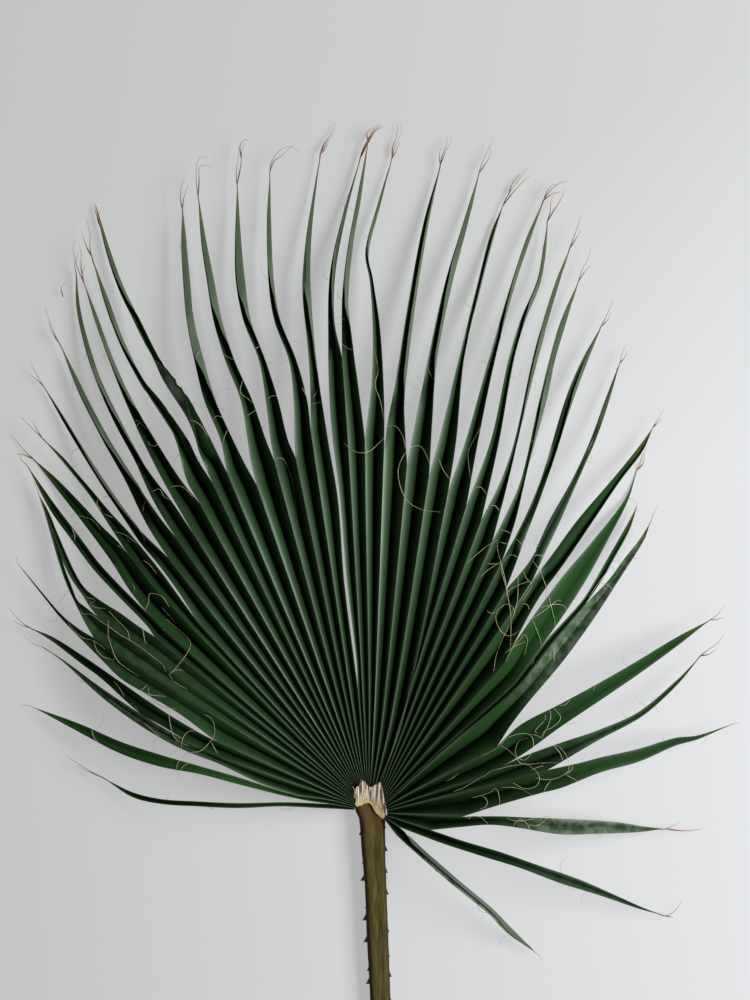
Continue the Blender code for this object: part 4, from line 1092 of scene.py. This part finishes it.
def leaf_under_material():
    """Grey green, duller underside."""
    look = Nodes("grey green underside", 0.6, specular=0.3)
    mottle = look.noise(20.0, 4.0)
    grey = look.ramp(mottle, (0.3, (0.078, 0.106, 0.076)), (0.75, (0.125, 0.158, 0.116)))
    along = look.attribute("along")
    grey = look.blend(look.ramp(along, (0.6, BLACK), (0.9, (0.6, 0.6, 0.6))), grey, (0.085, 0.13, 0.05))
    grey = browned_tip(look, along, grey)
    veins = look.math("SINE", look.math("MULTIPLY", look.attribute("from_rib"), VEIN_RIPPLE))
    return look.finish(grey, ((veins, 0.3, 0.12),))


def make_floor():
    """Pale floor that the leaf lies on. It glows with painted light, brighter to the right and dimmer past the
    top, which also softens the leaf's shadows on it.
    """
    bpy.ops.mesh.primitive_plane_add(size=14.0, location=(0.0, 0.3, -0.0005))
    floor = bpy.context.object
    floor.name = "floor"
    look = Nodes("pale floor", 0.9, specular=0.1)
    place = look.tree.nodes.new("ShaderNodeSeparateXYZ")
    look.link(look.object_place(), place.inputs["Vector"])
    # Painted light: the floor's glow grows brighter to the right and fades past the top, standing in for the
    # window's fall-off.
    across = look.math("MULTIPLY_ADD", place.outputs["X"], 1.2, 0.5)
    past_top = look.math("MAXIMUM", look.math("SUBTRACT", place.outputs["Y"], 0.05), 0.0)
    across = look.math("MULTIPLY_ADD", past_top, -2.2, across)
    painted_floor_light = look.ramp(across, (0.0, (0.365, 0.366, 0.362)), (1.0, (0.485, 0.487, 0.492)))
    look.fill(look.shader.inputs["Emission Color"], painted_floor_light)
    look.shader.inputs["Emission Strength"].default_value = 1.0
    floor.data.materials.append(look.finish((0.355, 0.357, 0.359)))


def make_lights():
    """A low soft window to the right and a weak even sky."""
    def area(name, place, aim, size, size_y, power, colour):
        light = bpy.data.lights.new(name, "AREA")
        light.shape = "RECTANGLE"
        light.size = size
        light.size_y = size_y
        light.energy = power
        light.color = colour
        lamp = bpy.data.objects.new(name, light)
        lamp.location = place
        lamp.rotation_euler = (Vector(aim) - Vector(place)).to_track_quat("-Z", "Y").to_euler()
        bpy.context.scene.collection.objects.link(lamp)

    area("window", (2.35, 0.35, 1.6), (0.0, 0.3, 0.0), 2.2, 1.2, 102.0, (0.96, 0.985, 1.0))
    world = bpy.data.worlds.new("studio")
    world.use_nodes = True
    world.node_tree.nodes["Background"].inputs["Color"].default_value = (0.93, 0.96, 1.0, 1.0)
    world.node_tree.nodes["Background"].inputs["Strength"].default_value = 0.07
    bpy.context.scene.world = world
    bpy.context.scene.view_settings.view_transform = "Standard"


def make_camera():
    """Straight above the leaf, framed so that the layout sheet fills the picture."""
    camera = bpy.data.cameras.new("camera")
    camera.sensor_fit = "AUTO"
    camera.sensor_width = 36.0
    camera.lens = CAMERA_HEIGHT / (SHEET_HEIGHT * MM) * camera.sensor_width
    eye = bpy.data.objects.new("camera", camera)
    middle = on_leaf(SHEET_MIDDLE) * MM
    eye.location = (middle.x, middle.y, CAMERA_HEIGHT + CAMERA_PLANE)
    bpy.context.scene.collection.objects.link(eye)
    bpy.context.scene.camera = eye


def smooth_line(points, step):
    """A smooth curve through the points, read about a step apart."""
    points = [Vector(point) for point in points]
    line = []
    for index in range(len(points) - 1):
        start, end = points[index], points[index + 1]
        before = points[max(index - 1, 0)]
        after = points[min(index + 2, len(points) - 1)]
        count = max(round((end - start).length / step), 1)
        for number in range(count):
            share = number / count
            square = share * share
            cube = square * share
            line.append(start * (2 * cube - 3 * square + 1) + (end - before) / 2 * (cube - 2 * square + share)
                        + end * (3 * square - 2 * cube) + (after - start) / 2 * (cube - square))
    return line + [points[-1]]


def add_hair(mesh, share_layer, line, radii, sides=HAIR_SIDES):
    """A thin closed tube along a line in millimetres; radii are spread over its length."""
    last = len(line) - 1
    rings = []
    side = None
    for index, point in enumerate(line):
        ahead = (line[min(index + 1, last)] - line[max(index - 1, 0)]).normalized()
        if side is None:
            side = ahead.orthogonal()
        side = (side - ahead * side.dot(ahead)).normalized()
        other = ahead.cross(side)
        share = index / last
        place = share * (len(radii) - 1)
        low = min(int(place), len(radii) - 2)
        radius = mix(radii[low], radii[low + 1], place - low)
        ring = []
        for number in range(sides):
            turn = math.tau * number / sides
            vertex = mesh.verts.new((point + (side * math.cos(turn) + other * math.sin(turn)) * radius) * MM)
            vertex[share_layer] = share
            ring.append(vertex)
        rings.append(ring)
    for near, far in zip(rings, rings[1:]):
        for number in range(sides):
            after = (number + 1) % sides
            mesh.faces.new((near[number], near[after], far[after], far[number]))
    mesh.faces.new(list(reversed(rings[0])))
    mesh.faces.new(rings[-1])


def make_tip_hairs(segments, material):
    """The frayed hairs that each segment ends in."""
    mesh = bmesh.new()
    share_layer = mesh.verts.layers.float.new("hair_share")
    draw = random.Random(31)
    for segment, entry in zip(segments, SEGMENTS):
        tip_height = TIP_HEIGHT + segment.tip_lift
        lead = [tuple(segment.section(segment.reach - back)[1]) for back in TIP_HAIR_LEAD]
        for hair in TIP_HAIRS.get(entry["name"], ()):
            end_height = max(tip_height + draw.uniform(-TIP_HAIR_DROP, TIP_HAIR_DROP),
                             TIP_HAIR_LOWEST)
            middle_height = mix(tip_height, end_height, 0.5) + draw.uniform(0.0, 1.5)
            heights = [tip_height] + [mix(middle_height, end_height, step / max(len(hair) - 2, 1))
                                      for step in range(len(hair) - 1)]
            points = lead + [(*on_leaf(point), height) for point, height in zip(hair, heights)]
            lead = []
            size = draw.uniform(*TIP_HAIR_SIZES)
            radii = [radius * size for radius in TIP_HAIR_RADII]
            add_hair(mesh, share_layer, smooth_line(points, TIP_HAIR_STEP), radii)
    hairs = as_object(mesh, "tip_hairs")
    hairs.data.materials.append(material)
    hairs.data.shade_smooth()
    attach(hairs, "root")
    return hairs


def drape(points, surface):
    """Lay a thread over the blade: it rests on the ridges, spans the gaps and sags where it hangs free."""
    flat = smooth_line([(*on_leaf(point), 0.0) for point in points], THREAD_STEP)
    rests = []
    for spot in flat:
        hit = surface.ray_cast(Vector((spot.x, spot.y, THREAD_CAST_FROM)) * MM, Vector((0.0, 0.0, -1.0)))[0]
        rests.append(hit.z / MM + THREAD_LIFT if hit else THREAD_ON_FLOOR)
    known = [rest for rest in rests if rest > THREAD_HELD_ABOVE] or [2.0]
    free = sum(known) / len(known) * THREAD_SAG
    heights = [rest if rest > THREAD_HELD_ABOVE else free for rest in rests]
    for _ in range(THREAD_PASSES):
        spread = [heights[0]] + heights + [heights[-1]]
        heights = [max(rest, before * 0.25 + here * 0.5 + after * 0.25)
                   for rest, before, here, after in zip(rests, spread, heights, spread[2:])]
    return [Vector((spot.x, spot.y, min(height, THREAD_TOP))) for spot, height in zip(flat, heights)]


def make_loose_threads(blade, look):
    """Long dry threads that lie across the pleats."""
    surface = BVHTree.FromPolygons([vertex.co for vertex in blade.data.vertices],
                                   [polygon.vertices for polygon in blade.data.polygons])
    mesh = bmesh.new()
    share_layer = mesh.verts.layers.float.new("hair_share")
    for points in LOOSE_THREADS:
        add_hair(mesh, share_layer, drape(points, surface), THREAD_RADII)
    threads = as_object(mesh, "loose_threads")
    threads.data.materials.append(look)
    threads.data.shade_smooth()
    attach(threads, "root")
    return threads


def make_edge_fibres(segments, look):
    """Fine curled fibres standing off the margins of the free lobes."""
    mesh = bmesh.new()
    share_layer = mesh.verts.layers.float.new("hair_share")
    draw = random.Random(71)
    for segment in segments:
        for _ in range(draw.randint(*FIBRES_A_SEGMENT)):
            radius = mix(segment.free_from, segment.reach, draw.uniform(*FIBRE_PLACES))
            left, _, right = segment.section(radius)
            sign = draw.choice((-1.0, 1.0))
            root = left if sign < 0 else right
            across = (right - left).to_2d() * sign
            heading = math.atan2(across.y, across.x) + draw.uniform(-FIBRE_TURN, FIBRE_TURN)
            bend = draw.choice((-1.0, 1.0)) * draw.uniform(*FIBRE_BEND)
            points = [root]
            for _ in range(draw.randint(*FIBRE_BENDS)):
                heading += bend
                move = Vector((math.cos(heading), math.sin(heading), draw.uniform(*FIBRE_RISE)))
                place = points[-1] + move * draw.uniform(*FIBRE_MOVE)
                place.z = max(place.z, FIBRE_LOWEST)
                points.append(place)
            add_hair(mesh, share_layer, smooth_line(points, FIBRE_STEP), FIBRE_RADII, FIBRE_SIDES)
    fibres = as_object(mesh, "edge_fibres")
    fibres.data.materials.append(look)
    fibres.data.shade_smooth()
    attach(fibres, "root")
    return fibres


def stalk_edges(sheet_y):
    """Left edge, right edge, underside and top of the stalk at a place along it."""
    for low, high in zip(STALK_SECTIONS, STALK_SECTIONS[1:]):
        if high[0] <= sheet_y <= low[0]:
            share = (low[0] - sheet_y) / (low[0] - high[0])
            return [mix(first, second, share) for first, second in zip(low[1:], high[1:])]
    return STALK_SECTIONS[0][1:]


def stalk_outline():
    """Smooth closed outline of the stalk's section: flat below, round sides, a shallow groove on top."""
    right = list(STALK_SIDE_PROFILE)
    ring = right + [(0.0, STALK_GROOVE)] + [(-x, z) for x, z in reversed(right)]
    closed = ring[-2:] + ring + ring[:2]
    line = smooth_line([(x, z, 0.0) for x, z in closed], 0.01)
    lengths = [0.0]
    for near, far in zip(line, line[1:]):
        lengths.append(lengths[-1] + (far - near).length)
    start = min(range(len(line)), key=lambda spot: (line[spot] - Vector((*ring[0], 0.0))).length)
    length = (lengths[-1] - lengths[0])
    turn = sum((Vector(second) - Vector(first)).length for first, second in zip(ring, ring[1:] + ring[:1]))
    outline = []
    place = start
    for number in range(STALK_SIDES):
        target = lengths[start] + turn * number / STALK_SIDES
        while place < len(line) - 1 and lengths[place] < min(target, length):
            place += 1
        outline.append((line[place].x, line[place].y))
    return outline


def make_stalk(look, cut_look):
    """The leaf stalk, drawn out of its cut end section by section, with the rib under the blade."""
    outline = stalk_outline()
    start_y = STALK_SECTIONS[0][0]
    end_y = STALK_SECTIONS[-1][0]
    bpy.ops.object.select_all(action="DESELECT")
    bpy.ops.mesh.primitive_circle_add(vertices=STALK_SIDES, radius=1.0, fill_type="NGON",
                                      rotation=(math.radians(90), 0, 0))
    bpy.ops.object.transform_apply(location=True, rotation=True, scale=True)
    stalk = bpy.context.object
    stalk.name = "leaf_stalk"
    rows = stations(0.0, start_y - end_y, STALK_STEP)
    bpy.ops.object.mode_set(mode="EDIT")
    bpy.ops.mesh.select_all(action="SELECT")
    for _ in rows[1:]:
        bpy.ops.mesh.extrude_region_move(TRANSFORM_OT_translate={"value": (0.0, 1.0, 0.0)})
    bpy.ops.object.mode_set(mode="OBJECT")

    mesh = bmesh.new()
    mesh.from_mesh(stalk.data)
    across_layer = mesh.verts.layers.float.new("across")
    head_layer = mesh.verts.layers.float.new("head")
    draw = random.Random(5)
    waves = [draw.uniform(-STALK_WAVE, STALK_WAVE) for _ in rows]
    for vertex in mesh.verts:
        row = round(vertex.co.y)
        number = round(math.atan2(-vertex.co.z, vertex.co.x) / math.tau * STALK_SIDES) % STALK_SIDES
        sheet_y = start_y - rows[row]
        left, right, bottom, top = stalk_edges(sheet_y)
        x, z = outline[number]
        swell = waves[row] * (abs(x) * 2.0) ** 3
        flat = on_leaf(((left + right) / 2 + (right - left) * x + math.copysign(swell, x), sheet_y))
        vertex.co = Vector((flat.x, flat.y, mix(bottom, top, z))) * MM
        vertex[across_layer] = x * 2.0
        vertex[head_layer] = smooth((STALK_HEAD_END - sheet_y) / STALK_HEAD_FADE)
    bmesh.ops.recalc_face_normals(mesh, faces=mesh.faces)
    for face in mesh.faces:
        face.material_index = 1 if len(face.verts) > 4 and face.calc_center_median().y < 0.0 else 0
    mesh.to_mesh(stalk.data)
    mesh.free()
    stalk.data.materials.append(look)
    stalk.data.materials.append(cut_look)
    stalk.data.shade_smooth()
    bpy.ops.object.shade_smooth_by_angle(angle=math.radians(50.0))
    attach(stalk, "root")
    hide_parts("petiole")
    return stalk


def make_spines(look):
    """Broad-rooted hooked thorns along both edges of the stalk, flattened, points towards its cut end."""
    mesh = bmesh.new()
    share_layer = mesh.verts.layers.float.new("hair_share")
    side_layer = mesh.verts.layers.float.new("left_row")
    for points, outward, side in ((LEFT_SPINES, -1.0, 0), (RIGHT_SPINES, 1.0, 1)):
        for x, y in points:
            edge = stalk_edges(y)[side]
            reach = max(abs(x - edge), SPINE_LEAST_REACH)
            size = min(reach / SPINE_FULL_REACH, 1.0)
            run = mix(SPINE_LEAST_RUN, SPINE_RUN, size)
            root = on_leaf((edge - outward * SPINE_ROOT_IN, y)).to_3d()
            rings = []
            for number in range(SPINE_RINGS):
                share = number / (SPINE_RINGS - 1)
                left = (1.0 - share) ** 1.15
                out = outward * (reach + SPINE_ROOT_IN) * share
                centre = root + Vector((out, run * 0.45 * left, STALK_HEIGHT * 0.55))
                half_root = run * 0.5 * left + 0.06
                half_thick = SPINE_ROOT_RADIUS * mix(0.7, 1.0, size) * (1.0 - share) ** 0.8 + 0.05
                ring = []
                for step in range(SPINE_SIDES):
                    turn = math.tau * step / SPINE_SIDES
                    spot = centre + Vector((0.0, half_root * math.cos(turn), half_thick * math.sin(turn)))
                    vertex = mesh.verts.new(spot * MM)
                    vertex[share_layer] = share
                    vertex[side_layer] = 1.0 - side
                    ring.append(vertex)
                rings.append(ring)
            for near, far in zip(rings, rings[1:]):
                for step in range(SPINE_SIDES):
                    after = (step + 1) % SPINE_SIDES
                    mesh.faces.new((near[step], near[after], far[after], far[step]))
            mesh.faces.new(rings[0])
            mesh.faces.new(rings[-1])
    bmesh.ops.recalc_face_normals(mesh, faces=mesh.faces)
    spines = as_object(mesh, "stalk_spines")
    spines.data.materials.append(look)
    spines.data.shade_smooth()
    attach(spines, "root")
    return spines


def crown_value(place, column):
    """Foot, edge and edge height of the papery crown at a place across it, from its named points."""
    spot = place * (len(CROWN_PAPER) - 1)
    low = min(int(spot), len(CROWN_PAPER) - 2)
    near, far = CROWN_PAPER[low][column], CROWN_PAPER[low + 1][column]
    if isinstance(near, tuple):
        return Vector([mix(first, second, spot - low) for first, second in zip(near, far)])
    return mix(near, far, spot - low)


def make_papery_crown(look):
    """The ragged papery crown over the hub: a fine sheet with torn edge, long folds and three slits."""
    bpy.ops.object.select_all(action="DESELECT")
    bpy.ops.mesh.primitive_grid_add(x_subdivisions=CROWN_COLUMNS, y_subdivisions=CROWN_ROWS, size=2.0)
    crown = bpy.context.object
    crown.name = "papery_crown"
    mesh = bmesh.new()
    mesh.from_mesh(crown.data)
    up_layer = mesh.verts.layers.float.new("up_share")
    across_layer = mesh.verts.layers.float.new("across")
    cut = []
    for vertex in mesh.verts:
        place = (vertex.co.x + 1.0) / 2.0
        share = (vertex.co.y + 1.0) / 2.0
        foot = on_leaf(crown_value(place, 0))
        edge = on_leaf(crown_value(place, 1))
        edge_height = crown_value(place, 2)
        coarse = noise.noise(Vector((place * 38.0, 3.0, 1.0))) * 2.2
        tear = (coarse + noise.noise(Vector((place * 90.0, 7.0, 2.0)))) * 0.9
        flat = foot.lerp(edge, share * (1.0 + tear / 22.0))
        fold = noise.noise(Vector((place * 17.0, share * 1.2, 5.0))) * 1.5 * smooth(share * 1.4)
        flat.x += noise.noise(Vector((place * 11.0, share * 2.0, 9.0))) * 0.7 * share
        height = mix(CROWN_PAPER_FOOT_HEIGHT, edge_height, share ** 1.4)
        height = max(height + fold, CROWN_PAPER_FOOT_HEIGHT)
        vertex.co = Vector((flat.x, flat.y, height)) * MM
        vertex[up_layer] = share
        vertex[across_layer] = place
    for face in mesh.faces:
        place = sum(vertex[across_layer] for vertex in face.verts) / 4
        share = sum(vertex[up_layer] for vertex in face.verts) / 4
        for at, lean, low, high, width in CROWN_SLITS:
            up = min((share - low) / (high - low), 1.0)
            opening = math.sin(math.pi * up) if low < share < high else 0.0
            if abs(place - at - lean * (share - low)) < width * opening:
                cut.append(face)
                break
    bmesh.ops.delete(mesh, geom=cut, context="FACES")
    mesh.to_mesh(crown.data)
    mesh.free()
    crown.data.materials.append(look)
    shell = crown.modifiers.new("Paper thickness", "SOLIDIFY")
    shell.thickness = CROWN_PAPER_THICKNESS * MM
    shell.offset = 0.0
    apply_modifiers(crown)
    crown.data.shade_smooth()
    bpy.ops.object.shade_smooth_by_angle(angle=math.radians(50.0))
    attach(crown, "root")
    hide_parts("hastula")
    return crown


def hair_material():
    """Frayed tip hairs: reddish brown where they leave the leaf, pale straw at their ends."""
    look = Nodes("frayed tip hair", 0.6, specular=0.3)
    colour = look.ramp(look.attribute("hair_share"), (0.0, (0.030, 0.050, 0.014)),
                       (0.18, (0.15, 0.075, 0.032)),
                       (0.38, (0.42, 0.175, 0.080)), (0.66, (0.50, 0.30, 0.18)), (1.0, (0.52, 0.42, 0.29)))
    return look.finish(colour)


def thread_material():
    """Pale straw threads."""
    look = Nodes("pale straw thread", 0.6, specular=0.3)
    return look.finish(look.ramp(look.noise(60.0, 2.0), (0.3, (0.50, 0.47, 0.24)),
                       (0.7, (0.76, 0.74, 0.48))))


def fibre_material():
    """Fine dry fibres, brownish grey."""
    look = Nodes("dry edge fibre", 0.7, specular=0.2)
    return look.finish(look.ramp(look.attribute("hair_share"), (0.0, (0.40, 0.36, 0.22)),
                       (1.0, (0.52, 0.46, 0.34))))


def spine_material():
    """Dark brown spines with a horny tip, the left row tanned paler."""
    look = Nodes("horny spine brown", 0.45, specular=0.25)
    up = look.attribute("hair_share")
    dark = look.ramp(up, (0.0, (0.070, 0.050, 0.018)), (0.4, (0.045, 0.022, 0.012)),
                     (1.0, (0.018, 0.009, 0.006)))
    tan = look.ramp(up, (0.0, (0.150, 0.105, 0.040)), (0.35, (0.36, 0.22, 0.14)), (0.7, (0.40, 0.30, 0.22)),
                    (1.0, (0.080, 0.045, 0.030)))
    return look.finish(look.blend(look.attribute("left_row"), dark, tan))


def stalk_material():
    """Olive brown stalk with a lighter yellowish middle that is partly a painted highlight, fine fibres, pale
    specks and a reddish head.
    """
    look = Nodes("olive brown stalk", 0.66, specular=0.05)
    across = look.math("MULTIPLY_ADD", look.attribute("across"), 0.5, 0.5)
    fibres = look.noise(1.0, 4.0, vector=look.object_place((640.0, 44.0, 640.0)))
    patches = look.noise(30.0, 4.0)
    sway = look.math("MULTIPLY_ADD", look.math("SUBTRACT", patches, 0.5), 0.14, across)
    # Across the stalk: darker rims and a lighter yellowish band peaking just right of the middle, partly its own
    # tone and partly a painted highlight of the window at the right.
    colour = look.ramp(sway, (0.02, (0.080, 0.072, 0.036)), (0.10, (0.104, 0.082, 0.032)),
                       (0.40, (0.135, 0.100, 0.030)), (0.54, (0.210, 0.160, 0.052)),
                       (0.68, (0.185, 0.140, 0.044)),
                       (0.90, (0.112, 0.084, 0.028)), (0.98, (0.044, 0.031, 0.014)))
    streaks = look.ramp(fibres, (0.43, BLACK), (0.57, WHITE))
    colour = look.blend(look.math("MULTIPLY", streaks, 0.6), colour, (0.048, 0.037, 0.011))
    head = look.ramp(look.math("MULTIPLY_ADD", look.math("SUBTRACT", patches, 0.5), 0.5, look.attribute("head")),
                     (0.3, BLACK), (0.9, WHITE))
    colour = look.blend(look.math("MULTIPLY", head, 0.75), colour, (0.15, 0.075, 0.032))
    specks = look.ramp(look.noise(420.0, 1.0), (0.70, BLACK), (0.76, WHITE))
    colour = look.blend(look.math("MULTIPLY", specks, 0.25), colour, (0.30, 0.27, 0.18))
    return look.finish(colour, ((fibres, 0.4, 0.2), (patches, 0.2, 0.5)))


def cut_end_material():
    """Cut face of the stalk: pale pith with darker fibre ends."""
    look = Nodes("cut stalk pith", 0.8, specular=0.2)
    dots = look.noise(1400.0, 2.0)
    colour = look.ramp(dots, (0.35, (0.16, 0.10, 0.045)), (0.6, (0.42, 0.33, 0.19)))
    return look.finish(colour, ((dots, 0.6, 0.3),))


def crown_material():
    """Dry pinkish white paper with long fibres, straw yellow at its foot, brown along its lower seam."""
    look = Nodes("dry crown paper", 0.8, specular=0.2)
    up = look.attribute("up_share")
    streaks = look.noise(1.0, 4.0, vector=look.object_place((700.0, 50.0, 100.0)))
    patches = look.noise(190.0, 3.0)
    paper = look.ramp(streaks, (0.25, (0.60, 0.41, 0.29)), (0.45, (0.82, 0.63, 0.48)),
                      (0.65, (0.90, 0.75, 0.60)))
    foot = look.ramp(patches, (0.3, (0.58, 0.43, 0.14)), (0.55, (0.82, 0.67, 0.34)),
                     (0.75, (0.88, 0.76, 0.50)))
    reach = look.ramp(look.math("MULTIPLY_ADD", look.math("SUBTRACT", patches, 0.5), 0.45, up),
                      (0.14, WHITE), (0.44, BLACK))
    colour = look.blend(reach, paper, foot)
    seam = look.ramp(up, (0.0, WHITE), (0.035, BLACK))
    colour = look.blend(look.math("MULTIPLY", seam, 0.8), colour, (0.12, 0.055, 0.02))
    torn = look.ramp(up, (0.96, BLACK), (1.0, WHITE))
    colour = look.blend(look.math("MULTIPLY", torn, 0.5), colour, (0.20, 0.11, 0.07))
    return look.finish(colour, ((streaks, 0.45, 0.2),))


make_camera()
make_floor()
make_lights()
LEAF = lay_out_segments()
BLADE = make_blade(LEAF, leaf_upper_material(), leaf_under_material())
make_stalk(stalk_material(), cut_end_material())
make_spines(spine_material())
make_papery_crown(crown_material())
make_tip_hairs(LEAF, hair_material())
make_loose_threads(BLADE, thread_material())
make_edge_fibres(LEAF, fibre_material())
